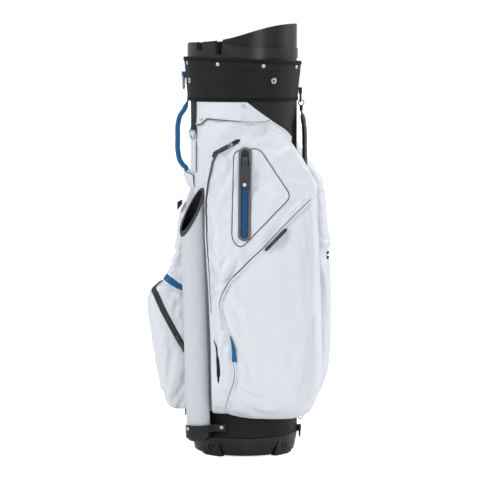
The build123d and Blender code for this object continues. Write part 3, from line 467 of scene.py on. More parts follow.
def settled(points, sewn, grow, pressure, weight, cap, coarse=(96, 80), frames=14):
    """A sewn cloth panel let buckle: a coarse copy of the grid, cut larger than its seams by the
    share grow, is simulated as cloth with its sewn points held, under its weight and a little
    pressure from inside. Its shift, no more than cap millimetres, is carried back to the full
    grid by cubic B-splines."""
    scene = bpy.context.scene
    rows, columns = points.shape[:2]
    r, c = coarse
    ri = np.round(np.linspace(0, rows - 1, r)).astype(int)
    ci = np.round(np.linspace(0, columns - 1, c)).astype(int)
    start = points[np.ix_(ri, ci)]
    held = np.array(sewn[np.ix_(ri, ci)], bool)
    held[[0, -1]] = True
    held[:, [0, -1]] = True
    index = np.arange(r * c).reshape(r, c)
    faces = np.stack([index[:-1, :-1], index[:-1, 1:], index[1:, 1:], index[1:, :-1]], -1).reshape(-1, 4)
    mesh = bpy.data.meshes.new("panel_being_settled")
    mesh.from_pydata((start.reshape(-1, 3) * MM).tolist(), [], faces.tolist())
    panel = bpy.data.objects.new("panel_being_settled", mesh)
    scene.collection.objects.link(panel)
    seams = panel.vertex_groups.new(name="sewn")
    seams.add(np.flatnonzero(held.ravel()).tolist(), 1.0, "REPLACE")
    cloth = panel.modifiers.new("Cloth", "CLOTH")
    settings = cloth.settings
    settings.vertex_group_mass = "sewn"
    settings.quality, settings.mass = 5, 0.12
    settings.tension_stiffness = settings.compression_stiffness = 25.0
    settings.shear_stiffness, settings.bending_stiffness = 8.0, 0.25
    settings.tension_damping = settings.compression_damping = 8.0
    settings.shear_damping, settings.bending_damping, settings.air_damping = 6.0, 0.6, 2.0
    settings.shrink_min = -grow
    settings.use_pressure = pressure > 0
    settings.uniform_pressure_force = pressure
    settings.effector_weights.gravity = weight
    cloth.collision_settings.use_collision = cloth.collision_settings.use_self_collision = False
    cloth.point_cache.frame_start, cloth.point_cache.frame_end = 1, frames
    for frame_number in range(1, frames + 1):
        scene.frame_set(frame_number)
    done = panel.evaluated_get(bpy.context.evaluated_depsgraph_get()).to_mesh()
    flat = np.empty(r * c * 3, np.float32)
    done.vertices.foreach_get("co", flat)
    bpy.data.objects.remove(panel)
    bpy.data.meshes.remove(mesh)
    scene.frame_set(1)
    shift = flat.reshape(r, c, 3).astype(float) / MM - start
    if not np.isfinite(shift).all():
        raise RuntimeError("a cloth panel did not settle")
    far = np.linalg.norm(shift, axis=2, keepdims=True)
    shift = shift * (cap * np.tanh(far / cap) / np.maximum(far, 1e-9))
    return points + np.einsum("ar,rcx,bc->abx", upsample(rows, r), shift, upsample(columns, c))


KEPT = {}


def kept(make):
    """Makes a cloth surface once and keeps it, because several pieces lie on the same one."""

    def once(*how):
        if (make.__name__, how) not in KEPT:
            KEPT[make.__name__, how] = make(*how)
        return KEPT[make.__name__, how]

    return once


# ---------------------------------------------------------------- the pockets' shapes
def on_body(x, radius=109.2):
    """The near side's y on the round body at x."""
    return -np.sqrt(np.maximum(radius**2 - x**2, 0))


def face_y(z):
    """Where the side pocket's sloping face stands at a height."""
    return FACE_TOP[0] - (FACE_TOP[1] - z) * FACE_SLOPE


def side_sections(z, far=False):
    """The side pocket's horizontal sections: at each height a clamped B-spline with twelve control
    points, from the body at the front, out along the gusset, across the face, round the rear corner
    and back to the body beside the spine. The controls' places change with the height."""
    front = keyed(
        z, [84, 93, 212, 300, 363, 408, 460, 530, 560, 600, 690],
        [-40, -54, -55, -58, -61, -64, -67, -68, -73, -76, -76]
    )
    face = keyed(
        z,
        [84, 93, 100, 112, 130, 160, 300, 430, 560, 640, 652, 662, 672, 682, 690],
        [
            -113, -120, -129, -140, -148, -153, -152, face_y(430), face_y(560), face_y(640), -125.4, -122.5, -118.5,
            -113.5, -111
        ],
    )
    reach = [112, 124, 136, 147, 156, 166, 167, 163, 159, 156, 154, 141, 130, 124, 117, 109, 101, 91, 79, 67, 58, 50]
    heights = [
        84, 93, 100, 112, 130, 165, 200, 300, 408, 480, 552, 580, 600, 611, 622, 635, 645, 655, 665, 675, 684, 690
    ]
    back = keyed(z, heights, reach)
    if far:
        back = back + keyed(z, [84, 160, 205, 340, 480, 560, 600, 690], [0, -2, 0, 8, 5, 3, 0, 0])
    turn = keyed(
        z, [84, 600, 611, 622, 635, 645, 655, 665, 675, 684, 690],
        [-24, -24, -25, -27, -30, -33, -37, -45, -54, -60, -64]
    )
    full = keyed(
        z, [84, 590, 600, 611, 622, 635, 645, 655, 665, 675, 684, 690],
        [1, 1, 0.98, 0.95, 0.9, 0.82, 0.7, 0.55, 0.38, 0.2, 0.08, 0.0]
    )
    crown = keyed(z, [84, 130, 250, 400, 430, 690], [0, 3, 5, 1, 0, 0])
    ax, ay = 109.2 * np.cos(np.radians(turn)), 109.2 * np.sin(np.radians(turn))
    start = on_body(front)
    rear = np.stack(
        [
            np.stack([back - 40, face + 1.5], -1),
            np.stack([back - 6, face + 9], -1),
            np.stack([back, face + 0.45 * (ay - face)], -1),
            np.stack([back - 2, face + 0.8 * (ay - face)], -1),
            np.stack([np.maximum(back - 12, ax), ay - 4], -1),
        ],
        axis=1,
    )
    shell = rear / np.linalg.norm(rear, axis=2, keepdims=True) * 109.6
    rear = shell + full[:, None, None] * (rear - shell)
    controls = np.concatenate(
        [
            np.stack(
                [
                    np.stack([front, start], -1),
                    np.stack([front - 1.5, start + 0.45 * (face - start)], -1),
                    np.stack([front - 0.5, face + 6], -1),
                    np.stack([front + 8, face - 0.5], -1),
                    np.stack([front + 26, face], -1),
                    np.stack([0.72 * front + 0.28 * back, face - crown], -1),
                    np.stack([0.34 * front + 0.66 * back, face - crown], -1),
                ],
                axis=1,
            ),
            rear,
            np.stack([ax, ay], -1)[:, None],
        ],
        axis=1,
    )
    flat = np.einsum("uk,zkd->zud", basis(controls.shape[1], 240), controls)
    x, y = flat[..., 0], flat[..., 1]
    height = np.broadcast_to(z[:, None], x.shape)
    # the top's gusset falls to the body over the last 15 mm outside the seam
    crest = SIDE_SEAM[6:] + [(120, 704), (240, 704), (240, 400), (-68, 400)]
    away = distance(x, height, crest + crest[:1])[0] * inside(x, height, crest)
    rise = np.where(height > 538, smoothstep((away + 16) / 16), 1.0)
    blend = smoothstep((height - 530) / 20)
    rise = 1 + (rise - 1) * blend
    r = np.hypot(x, y)
    scale = (109.5 + rise * (r - 109.5)) / r
    return np.stack([x * scale, y * scale, height], -1)


SIDE_FOLDS = [
    ([(-30, 640), (-14, 600), (-22, 560)], 9, 0.5),
    ([(60, 672), (48, 655), (20, 648)], 7, 0.7),
    ([(104, 640), (78, 628), (52, 640)], 8, 0.6),
    ([(-58, 520), (-48, 460), (-54, 400)], 7, 0.8),
    ([(-56, 420), (-36, 370), (-48, 310)], 6, 1.0),
    ([(-20, 420), (-36, 384), (-50, 340)], 6, 0.9),
    ([(6, 418), (-14, 372), (-44, 352)], 5, 0.8),
    ([(-50, 330), (-40, 260), (-46, 200)], 5, 1.0),
    ([(-28, 250), (-34, 190), (-26, 130)], 6, 0.8),
    ([(140, 560), (112, 575), (84, 604)], 8, 0.6),
    ([(130, 535), (100, 512), (76, 470)], 6, 0.6),
]
LOWER_FOLDS = [
    ([(-22, 330), (4, 300), (14, 250)], 8, 0.9),
    ([(-6, 352), (26, 330), (60, 330)], 10, 0.6),
    ([(-2, 230), (24, 205), (30, 160)], 7, 0.7),
    ([(-12, 160), (16, 140), (60, 132)], 8, 0.6),
    ([(20, 112), (60, 104), (104, 112)], 7, 0.7),
    ([(120, 130), (138, 180), (142, 250)], 9, 0.8),
    ([(132, 500), (144, 440), (146, 360)], 8, 0.8),
    ([(118, 476), (134, 420), (136, 330)], 8, 0.6),
    ([(150, 330), (140, 270), (148, 190)], 7, 0.7),
]


def cloth_noise(x, z, seed, size=60.0, depth=0.9):
    """Soft unevenness of sewn cloth: broad noise with half as much at a third of the size."""
    broad = value_noise(x / size + 7.3, z / (size * 1.7) + 3.1, seed)
    fine = value_noise(x / (size / 3) + 1.7, z / (size / 1.8) + 9.4, seed + 1)
    return depth * (broad + 0.4 * fine)


@kept
def side_skin(depth, far=False):
    """The side pocket's whole outer cloth, with creases, as a Skin whose column values are x."""
    z = np.linspace(93, 690, 300)
    points = side_sections(z, far)
    x, height = points[..., 0], points[..., 2]
    panel = np.array(PANEL_OUTLINE, float) + PANEL_CENTRE
    within = inside(x, height, panel) * distance(x, height, np.vstack([panel, panel[:1]]))[0]
    calm = 1 - 0.75 * smoothstep((within + 12) / 24)
    calm = calm * (1 - 0.9 * smoothstep(1.4 - distance(x, height, [(13.5, 625), (13.5, 452)])[0] / 20))
    garment = distance(x, height, [(0, 644), (-46, 618)])[0]
    long_zip = distance(x, height, [(26, 620), (26, 448)])[0] if far else np.full(x.shape, 99.0)
    calm = calm * smoothstep((long_zip - 8) / 16)
    calm = calm * smoothstep(garment / 14)
    fade = smoothstep((height - 93) / 15) * smoothstep((690 - height) / 10) * calm
    push = fade * (depth * creases(x, height, SIDE_FOLDS) + cloth_noise(x, height, 5 if far else 2))
    points = points + normals_of(points) * push[..., None]
    pouch = np.array(LOWER_SEAM + [(190, 531), (190, 84)], float)
    sewn = inside(x, height, pouch) * distance(x, height, np.vstack([pouch, pouch[:1]]))[0] > -3
    sewn |= (within > -2) & (within < 2)
    sewn |= distance(x, height, [(13.5, 628), (13.5, 448)])[0] < 16
    sewn |= (garment < 4) | (long_zip < 10)
    sewn |= (distance(x, height, SIDE_SEAM)[0] < 3) & (height < 625)
    sewn |= np.arange(points.shape[1])[None, :] > 205
    points = settled(points, sewn, 0.03, 0.6, 0.5, 4.5)
    return Skin(points, z, np.maximum.accumulate(points[:, :200, 0], axis=1))


@kept
def lower_skin(side, fill, depth):
    """The lower pocket: the side pocket's surface from the seam to the spine, stood out by
    2 mm at the seam and by fill further in, as 1 - exp(-distance / 20). The far one is drawn in
    where it faces the spine at the elastic loops, as a Gaussian of the height from them."""
    seam = spline(LOWER_SEAM, 200)
    z = np.linspace(84.5, 530.5, 230)
    left = np.interp(z, seam[:, 1], seam[:, 0])
    base = Skin(side_sections(np.linspace(84, 690, 300), side == "far"), np.linspace(84, 690, 300))
    base.columns = np.maximum.accumulate(base.points[:, :200, 0], axis=1)
    row, first = base.find(left, z)
    u = np.linspace(0, 1, 210)[None, :]
    column = first[:, None] + (239 - first[:, None]) * u
    points, normals = base.at(np.broadcast_to(row[:, None], column.shape), column)
    x, height = points[..., 0], points[..., 2]
    away = np.minimum(distance(x, height, seam)[0], 534 - height)
    away = np.minimum(away, (height - 82) * 0.9)
    out = 2.0 + fill * (1 - np.exp(-away / 20)) + 2.0 * (1 - np.exp(-away / 90))
    out = out * smoothstep((1 - u) * 8) ** 0.5 * (
        1 - (0.35 if side == "far" else 0.85) * np.clip(normals[..., 0], 0, 1)
    )
    looped = np.exp(-(((height - LOOPS_HEIGHT) / 17) ** 2)) * smoothstep((np.clip(normals[..., 0], 0, 1) - 0.35) / 0.3)
    looped = looped if side == "far" else 0 * looped
    out = out * (1 - 0.92 * looped)
    push = creases(x, height, LOWER_FOLDS) * depth + cloth_noise(x, height, 11 if side == "far" else 9, 70)
    pucker = 0.35 * np.exp(-away / 5) * np.sin(distance(x, height, seam)[1] * 260)
    out = out + smoothstep(away / 12) * push * (1 - looped) + pucker
    points = points + normals * out[..., None]
    zipped = distance(x, height, [(60, 438), (112, 492)])[0]
    sewn = (away < 2.5) | (zipped < 5) | (looped > 0.5) | (np.broadcast_to(u, away.shape) > 0.97)
    points = settled(points, sewn, 0.018, 1.0, 0.6, 4.0)
    return Skin(points, z, np.maximum.accumulate(points[:, :190, 0], axis=1))


FRONT_KEYS = [  # (height, the front's x, half width) from under the ball pocket to the top
    (97, -112, 60),
    (94, -128, 66),
    (94.5, -142, 70),
    (100, -155, 72),
    (120, -163, 73),
    (150, -171, 73.5),
    (200, -181, 73.5),
    (248, -189, 73.5),
    (290, -195.5, 73),
    (314, -197, 72),
    (330, -193, 71),
    (340, -183, 70),
    (345, -172, 69),
    (347.5, -165.5, 68),
    (356, -164.5, 68),
    (368, -160, 68),
    (384, -153, 68),
    (420, -143, 67),
    (480, -137, 66),
    (497, -133, 64),
    (515, -124, 60),
    (530, -115, 54),
    (541, -108.5, 46),
]


@kept
def front_skin(depth):
    """The ball pocket and the padded front pocket above it: sections as clamped B-splines with
    thirteen control points, from the body on the near side round the front to the far side."""
    keys = np.array(FRONT_KEYS, float)
    run = np.concatenate([[0], np.cumsum(np.hypot(np.diff(keys[:, 0]), np.diff(keys[:, 1])))])
    s = np.linspace(0, run[-1], 280)
    z, x, half = (keyed(s, run, keys[:, i]) for i in range(3))
    half = half - 1.4
    start = -np.sqrt(np.maximum(109.2**2 - (half - 3) ** 2, 0))
    edge_side = [
        np.stack([start, half - 3], -1),
        np.stack([start - 0.25 * (start - x), half], -1),
        np.stack([start - 0.6 * (start - x), half + 0.3], -1),
        np.stack([x + 0.16 * (start - x), half], -1),
        np.stack([x + 3, half - 9], -1),
        np.stack([x, 0.5 * half], -1),
    ]
    middle = [np.stack([x + 0 * half, 0 * half], -1)]
    controls = np.stack(edge_side + middle + [c * [1, -1] for c in edge_side[::-1]], axis=1)
    flat = np.einsum("uk,zkd->zud", basis(13, 220), controls)
    points = np.concatenate([flat, np.broadcast_to(z[:, None, None], flat.shape[:2] + (1,))], -1)
    angle = np.degrees(np.arctan2(-points[..., 1], -points[..., 0] - 90))
    height = points[..., 2]
    around = -angle * 1.2
    edge = smoothstep(np.minimum(s - 6, run[-1] - s - 6)[:, None] / 25)
    edge = edge * smoothstep((np.abs(points[..., 0]) - 112) / 14)
    folds = [
        ([(-70, 335), (-40, 322), (0, 330)], 6, 0.9),
        ([(-100, 300), (-60, 326), (-20, 338)], 6, 1.0),
        ([(-96, 330), (-70, 300), (-64, 250)], 7, 0.9),
        ([(-84, 420), (-40, 410), (20, 424)], 10, 0.7),
        ([(-84, 380), (-40, 392), (10, 386)], 7, 0.8),
        ([(60, 330), (90, 300), (96, 240)], 7, 0.9),
        ([(-60, 130), (-20, 118), (40, 124)], 8, 0.8),
        ([(-30, 290), (10, 300), (50, 290)], 10, 0.5),
        ([(-50, 480), (0, 470), (50, 482)], 9, 0.6),
    ]
    wall = (np.abs(angle) > 60) & (height > 205) & (height < 320)
    push = edge * (creases(around, height, folds) * depth + cloth_noise(around, height, 21, 50, 0.8))
    half_arch = [(68, 219.5), (61.7, 238), (50.6, 275.5), (43.8, 304), (38, 331), (31, 339.5), (0, 343)]
    arch = half_arch + [(-a, h) for a, h in half_arch[-2::-1]]
    zipped = distance(angle, height, arch)[0]
    push = push * np.where(wall, 0.25, 1.0) * smoothstep((zipped - 5) / 12)
    points = points + normals_of(points) * push[..., None]
    creased = distance(angle, height, [(70, 347), (0, 347), (-70, 347)])[0]
    sewn = (zipped < 9) | (creased < 4) | (np.abs(points[..., 0]) < 112)
    points = settled(points, sewn, 0.03, 0.8, 0.6, 4.5)
    upwards = slice(int(np.argmin(z)), None)
    return Skin(points[upwards], z[upwards], angle[upwards])


# ---------------------------------------------------------------- materials
def nodes_of(material):
    """A material's node tree with its Principled shader, and a short way to add nodes."""
    material.use_nodes = True
    tree = material.node_tree
    shader = next(n for n in tree.nodes if n.type == "BSDF_PRINCIPLED")
    return tree, shader


def add_node(tree, kind, **values):
    """A node with its properties and its inputs set."""
    node = tree.nodes.new(kind)
    for key, value in values.items():
        if hasattr(node, key) and key not in node.inputs:
            setattr(node, key, value)
        else:
            node.inputs[key.replace("_", " ")].default_value = value
    return node


def group(name, inputs, outputs):
    """An empty node group with named inputs and outputs, or None if it has been made."""
    if name in bpy.data.node_groups:
        return None
    made = bpy.data.node_groups.new(name, "ShaderNodeTree")
    for label, kind, default in inputs:
        socket = made.interface.new_socket(label, in_out="INPUT", socket_type=kind)
        socket.default_value = default
    for label, kind in outputs:
        made.interface.new_socket(label, in_out="OUTPUT", socket_type=kind)
    return made


def weave_group():
    """Woven cloth: the product of two sets of ribs at right angles, a little uneven, as a height,
    and a slow mottle for colour and gloss."""
    made = group(
        "Woven cloth",
        [
            ("Vector", "NodeSocketVector", (0, 0, 0)), ("Threads", "NodeSocketFloat", 900.0),
            ("Mottle size", "NodeSocketFloat", 30.0)
        ],
        [("Height", "NodeSocketFloat"), ("Mottle", "NodeSocketFloat")],
    )
    if made is None:
        return bpy.data.node_groups["Woven cloth"]
    source, sink = made.nodes.new("NodeGroupInput"), made.nodes.new("NodeGroupOutput")
    link = made.links.new
    heights = []
    for direction in ("X", "Z"):
        wave = add_node(
            made, "ShaderNodeTexWave", wave_type="BANDS", bands_direction=direction, Distortion=0.6, Detail=1.0
        )
        link(source.outputs["Vector"], wave.inputs["Vector"])
        link(source.outputs["Threads"], wave.inputs["Scale"])
        heights.append(wave.outputs["Fac"])
    both = add_node(made, "ShaderNodeMath", operation="MULTIPLY")
    link(heights[0], both.inputs[0])
    link(heights[1], both.inputs[1])
    link(both.outputs[0], sink.inputs["Height"])
    mottle = add_node(made, "ShaderNodeTexNoise", Detail=4.0, Roughness=0.6)
    link(source.outputs["Vector"], mottle.inputs["Vector"])
    link(source.outputs["Mottle size"], mottle.inputs["Scale"])
    link(mottle.outputs["Fac"], sink.inputs["Mottle"])
    return made


def grain_group():
    """Moulded grain: fine noise over coarse noise as a height, and a scuff mask."""
    made = group(
        "Moulded grain",
        [
            ("Vector", "NodeSocketVector", (0, 0, 0)), ("Grain", "NodeSocketFloat", 900.0),
            ("Scuffs", "NodeSocketFloat", 40.0)
        ],
        [("Height", "NodeSocketFloat"), ("Scuff mask", "NodeSocketFloat")],
    )
    if made is None:
        return bpy.data.node_groups["Moulded grain"]
    source, sink = made.nodes.new("NodeGroupInput"), made.nodes.new("NodeGroupOutput")
    link = made.links.new
    fine = add_node(made, "ShaderNodeTexVoronoi", feature="SMOOTH_F1")
    link(source.outputs["Vector"], fine.inputs["Vector"])
    link(source.outputs["Grain"], fine.inputs["Scale"])
    link(fine.outputs["Distance"], sink.inputs["Height"])
    scuff = add_node(made, "ShaderNodeTexNoise", Detail=6.0, Roughness=0.7)
    link(source.outputs["Vector"], scuff.inputs["Vector"])
    link(source.outputs["Scuffs"], scuff.inputs["Scale"])
    level = add_node(made, "ShaderNodeMapRange")
    level.inputs["From Min"].default_value, level.inputs["From Max"].default_value = 0.45, 0.7
    link(scuff.outputs["Fac"], level.inputs["Value"])
    link(level.outputs["Result"], sink.inputs["Scuff mask"])
    return made


def webbing_group():
    """Webbing: slanted ribs that cross in a twill, read from the piece's own UV map in centimetres."""
    made = group(
        "Webbing ribs",
        [("Vector", "NodeSocketVector", (0, 0, 0)), ("Ribs", "NodeSocketFloat", 3.0)],
        [("Height", "NodeSocketFloat")],
    )
    if made is None:
        return bpy.data.node_groups["Webbing ribs"]
    source, sink = made.nodes.new("NodeGroupInput"), made.nodes.new("NodeGroupOutput")
    link = made.links.new
    ribs = []
    for direction in ("X", "DIAGONAL"):
        wave = add_node(made, "ShaderNodeTexWave", wave_type="BANDS", bands_direction=direction, Distortion=0.4)
        link(source.outputs["Vector"], wave.inputs["Vector"])
        link(source.outputs["Ribs"], wave.inputs["Scale"])
        ribs.append(wave.outputs["Fac"])
    both = add_node(made, "ShaderNodeMath", operation="ADD")
    link(ribs[0], both.inputs[0])
    link(ribs[1], both.inputs[1])
    link(both.outputs[0], sink.inputs["Height"])
    return made


def streak_group():
    """Level streaks, as in ribbed black cloth: fine noise stretched sideways, as a mask and a height."""
    made = group(
        "Level streaks",
        [
            ("Vector", "NodeSocketVector", (0, 0, 0)), ("Fineness", "NodeSocketFloat", 500.0),
            ("Stretch", "NodeSocketFloat", 14.0)
        ],
        [("Height", "NodeSocketFloat"), ("Mask", "NodeSocketFloat")],
    )
    if made is None:
        return bpy.data.node_groups["Level streaks"]
    source, sink = made.nodes.new("NodeGroupInput"), made.nodes.new("NodeGroupOutput")
    link = made.links.new
    split = add_node(made, "ShaderNodeSeparateXYZ")
    join = add_node(made, "ShaderNodeCombineXYZ")
    link(source.outputs["Vector"], split.inputs[0])
    for axis in ("X", "Y"):
        squeeze = add_node(made, "ShaderNodeMath", operation="DIVIDE")
        link(split.outputs[axis], squeeze.inputs[0])
        link(source.outputs["Stretch"], squeeze.inputs[1])
        link(squeeze.outputs[0], join.inputs[axis])
    link(split.outputs["Z"], join.inputs["Z"])
    noise = add_node(made, "ShaderNodeTexNoise", Detail=4.0, Roughness=0.65)
    link(join.outputs[0], noise.inputs["Vector"])
    link(source.outputs["Fineness"], noise.inputs["Scale"])
    level = add_node(made, "ShaderNodeMapRange")
    level.inputs["From Min"].default_value, level.inputs["From Max"].default_value = 0.35, 0.68
    link(noise.outputs["Fac"], level.inputs["Value"])
    link(level.outputs["Result"], sink.inputs["Mask"])
    link(noise.outputs["Fac"], sink.inputs["Height"])
    return made


def crumple_group():
    """Crumpled coated cloth: creases where warped noise crosses its middle value, as a height."""
    made = group(
        "Crumples",
        [("Vector", "NodeSocketVector", (0, 0, 0)), ("Crumple size", "NodeSocketFloat", 20.0)],
        [("Height", "NodeSocketFloat")],
    )
    if made is None:
        return bpy.data.node_groups["Crumples"]
    source, sink = made.nodes.new("NodeGroupInput"), made.nodes.new("NodeGroupOutput")
    link = made.links.new
    noise = add_node(made, "ShaderNodeTexNoise", Detail=2.5, Roughness=0.5, Distortion=0.7)
    link(source.outputs["Vector"], noise.inputs["Vector"])
    link(source.outputs["Crumple size"], noise.inputs["Scale"])
    middle = add_node(made, "ShaderNodeMath", operation="SUBTRACT")
    middle.inputs[1].default_value = 0.5
    link(noise.outputs["Fac"], middle.inputs[0])
    fold = add_node(made, "ShaderNodeMath", operation="ABSOLUTE")
    link(middle.outputs[0], fold.inputs[0])
    soft = add_node(made, "ShaderNodeMath", operation="POWER")
    soft.inputs[1].default_value = 0.7
    link(fold.outputs[0], soft.inputs[0])
    link(soft.outputs[0], sink.inputs["Height"])
    return made


def shade(tree, shader, base, mask, spread, rough, rough_spread, height, bump, reach, under=None):
    """Joins a pattern to a shader: the mask varies the colour and the roughness, the height makes the bump."""
    link = tree.links.new
    ramp = add_node(tree, "ShaderNodeMapRange")
    ramp.inputs["To Min"].default_value, ramp.inputs["To Max"].default_value = rough - rough_spread, rough + rough_spread
    link(mask, ramp.inputs["Value"])
    link(ramp.outputs["Result"], shader.inputs["Roughness"])
    mix = add_node(tree, "ShaderNodeMix", data_type="RGBA")
    mix.inputs[6].default_value = (*[c * (1 - spread) for c in base], 1)
    mix.inputs[7].default_value = (*[min(c * (1 + spread), 1) for c in base], 1)
    link(mask, mix.inputs[0])
    link(mix.outputs[2], shader.inputs["Base Color"])
    node = add_node(tree, "ShaderNodeBump", Strength=bump, Distance=reach)
    link(height, node.inputs["Height"])
    if under is not None:
        link(under, node.inputs["Normal"])
    link(node.outputs["Normal"], shader.inputs["Normal"])


def material(
    name, pattern, base, rough=0.6, spread=0.06, rough_spread=0.06, bump=0.3, reach=0.0002, size=900.0, coarse=30.0,
    uv=False, crumple=0.0, **shader_values
):
    """A procedural finish: pattern is cloth, grain or webbing, and shader_values go straight on the shader."""
    if name in bpy.data.materials:
        return bpy.data.materials[name]
    made = bpy.data.materials.new(name)
    tree, shader = nodes_of(made)
    made.diffuse_color = (*base, 1)
    place = add_node(tree, "ShaderNodeTexCoord")
    vector = place.outputs["UV" if uv else "Object"]
    build = {"cloth": weave_group, "grain": grain_group, "webbing": webbing_group, "streaks": streak_group}[pattern]
    node = tree.nodes.new("ShaderNodeGroup")
    node.node_tree = build()
    tree.links.new(vector, node.inputs["Vector"])
    sizes = {
        "cloth": ("Threads", "Mottle size"), "grain": ("Grain", "Scuffs"), "webbing": ("Ribs", None),
        "streaks": ("Fineness", "Stretch")
    }[pattern]
    node.inputs[sizes[0]].default_value = size
    if sizes[1]:
        node.inputs[sizes[1]].default_value = coarse
        mask = node.outputs[1]
    else:
        noise = add_node(tree, "ShaderNodeTexNoise", Scale=coarse, Detail=3.0)
        tree.links.new(place.outputs["Object"], noise.inputs["Vector"])
        mask = noise.outputs["Fac"]
    under = None
    if crumple:
        creased = tree.nodes.new("ShaderNodeGroup")
        creased.node_tree = crumple_group()
        tree.links.new(vector, creased.inputs["Vector"])
        press = add_node(tree, "ShaderNodeBump", Strength=crumple, Distance=0.004)
        tree.links.new(creased.outputs["Height"], press.inputs["Height"])
        under = press.outputs["Normal"]
    shade(tree, shader, base, mask, spread, rough, rough_spread, node.outputs["Height"], bump, reach, under)
    for key, value in shader_values.items():
        shader.inputs[key.replace("_", " ")].default_value = value
    return made


def finishes(tints):
    """Every finish of the bag, by name."""
    white, blue, black, moulded = (tuple(c) for c in (tints.cloth, tints.accent, tints.black_cloth, tints.moulded))
    cloth = dict(pattern="cloth", size=420.0, coarse=14.0, reach=0.0001, bump=0.12)
    return {
        "coated cloth": material(
            "coated cloth", base=white, rough=0.46, spread=0.025, crumple=0.3, Sheen_Weight=0.08, **cloth
        ),
        "tube cloth": material("tube cloth", base=tuple(c * 0.84 for c in white), rough=0.5, spread=0.03, **cloth),
        "blue cloth": material(
            "blue cloth", base=tuple(c * 0.8 for c in blue), rough=0.5, spread=0.12, Specular_IOR_Level=0.3, **cloth
        ),
        "blue tape": material(
            "blue tape", "cloth", base=tuple(c * 0.5 for c in blue), rough=0.38, Specular_IOR_Level=0.35, size=800.0,
            spread=0.12, bump=0.2
        ),
        "blue grip": material(
            "blue grip", "grain", base=blue, rough=0.5, Specular_IOR_Level=0.3, size=700.0, spread=0.1, bump=0.3
        ),
        "black cloth": material(
            "black cloth", "streaks", base=black, rough=0.56, rough_spread=0.14, size=420.0, coarse=16.0, spread=0.85,
            bump=0.7, reach=0.0006, Specular_IOR_Level=0.24
        ),
        "neck cloth": material(
            "neck cloth", "streaks", base=tuple(c * 1.35 for c in black), rough=0.58, rough_spread=0.1, size=380.0,
            coarse=10.0, spread=0.7, bump=0.5, reach=0.0005, Specular_IOR_Level=0.32
        ),
        "binding": material(
            "binding", "webbing", base=tuple(c * 0.7 for c in black), rough=0.75, Specular_IOR_Level=0.2, size=5.0,
            coarse=60.0, spread=0.3, bump=0.4, uv=True
        ),
        "moulded plastic": material(
            "moulded plastic", "grain", base=moulded, rough=0.34, Specular_IOR_Level=0.4, size=1400.0, coarse=24.0,
            spread=0.25, rough_spread=0.08, bump=0.2
        ),
        # painted highlight: a lighter copy of the moulded plastic for the organiser's band, for the light along its top
        # edge
        "moulded painted highlight": material(
            "moulded painted highlight", "grain", base=tuple(c * 2.0 for c in moulded), rough=0.3, Specular_IOR_Level=0.45,
            size=1400.0, coarse=24.0, spread=0.2, rough_spread=0.08, bump=0.18
        ),
        "divider plastic": material(
            "divider plastic", "grain", base=tuple(c * 1.3 for c in moulded), rough=0.55, size=1200.0, spread=0.2,
            bump=0.2
        ),
        "divider cloth": material(
            "divider cloth", "cloth", base=(0.028, 0.028, 0.031), rough=0.9, size=300.0, spread=0.3, bump=0.5,
            Sheen_Weight=0.3
        ),
        "liner plastic": material(
            "liner plastic", "grain", base=(0.03, 0.03, 0.032), rough=0.5, size=500.0, spread=0.15, bump=0.15
        ),
        "rubber": material("rubber", "grain", base=(0.03, 0.03, 0.032), rough=0.7, size=1100.0, spread=0.2, bump=0.3),
        "pull rubber": material(
            "pull rubber", "grain", base=(0.045, 0.046, 0.05), rough=0.5, size=1500.0, spread=0.15, bump=0.2
        ),
        "thread": material(
            "thread", "cloth", base=tuple(c * 0.8 for c in white), rough=0.7, size=1500.0, spread=0.05, bump=0.2
        ),
        # painted shade: a grey copy of the coated cloth, laid in the groove beside the lower pocket's seam where shade
        # falls
        "painted seam shade": material(
            "painted seam shade", "cloth", base=tuple(c * 0.42 for c in white), rough=0.6, size=900.0, spread=0.1, bump=0.2
        ),
        "black thread": material(
            "black thread", "cloth", base=(0.03, 0.03, 0.033), rough=0.7, size=1500.0, spread=0.1, bump=0.2
        ),
        "zip surround": material(
            "zip surround", "grain", base=tuple(tints.zip_grey), rough=0.45, size=1500.0, spread=0.1, bump=0.15
        ),
        "coated zip": material(
            "coated zip", "cloth", base=(0.017, 0.017, 0.019), rough=0.36, size=700.0, spread=0.2, bump=0.15
        ),
        "piping": material("piping", "cloth", base=tuple(tints.piping), rough=0.5, size=700.0, spread=0.15, bump=0.2),
        "black webbing": material(
            "black webbing", "webbing", base=(0.014, 0.014, 0.016), rough=0.7, size=3.2, coarse=80.0, spread=0.3,
            bump=0.7, reach=0.0004, uv=True
        ),
        "white webbing": material(
            "white webbing", "webbing", base=tuple(c * 0.97 for c in white), rough=0.6, size=3.2, coarse=80.0,
            spread=0.04, bump=0.5, reach=0.0003, uv=True
        ),
        "trim webbing": material(
            "trim webbing", "cloth", base=(0.014, 0.014, 0.016), rough=0.72, size=380.0, spread=0.3, bump=0.6,
            reach=0.0003
        ),
        "blue webbing": material("blue webbing", "cloth", base=blue, rough=0.6, size=380.0, spread=0.15, bump=0.5),
        "pad mesh": material(
            "pad mesh", "cloth", base=(0.05, 0.05, 0.055), rough=0.8, size=260.0, spread=0.3, bump=0.8, reach=0.0005
        ),
        "nickel": material(
            "nickel", "grain", base=tuple(tints.nickel), rough=0.24, size=300.0, coarse=120.0, spread=0.06, bump=0.03,
            Metallic=1.0
        ),
        "blackened metal": material(
            "blackened metal", "grain", base=(0.02, 0.02, 0.022), rough=0.45, size=500.0, coarse=120.0, spread=0.2,
            bump=0.05, Metallic=0.6
        ),
        "smoked nickel": material(
            "smoked nickel", "grain", base=(0.2, 0.2, 0.205), rough=0.36, size=300.0, coarse=120.0, spread=0.1,
            bump=0.03, Metallic=1.0
        ),
        "gunmetal": material(
            "gunmetal", "grain", base=(0.12, 0.12, 0.125), rough=0.34, size=300.0, coarse=120.0, spread=0.15, bump=0.03,
            Metallic=1.0
        ),
    }


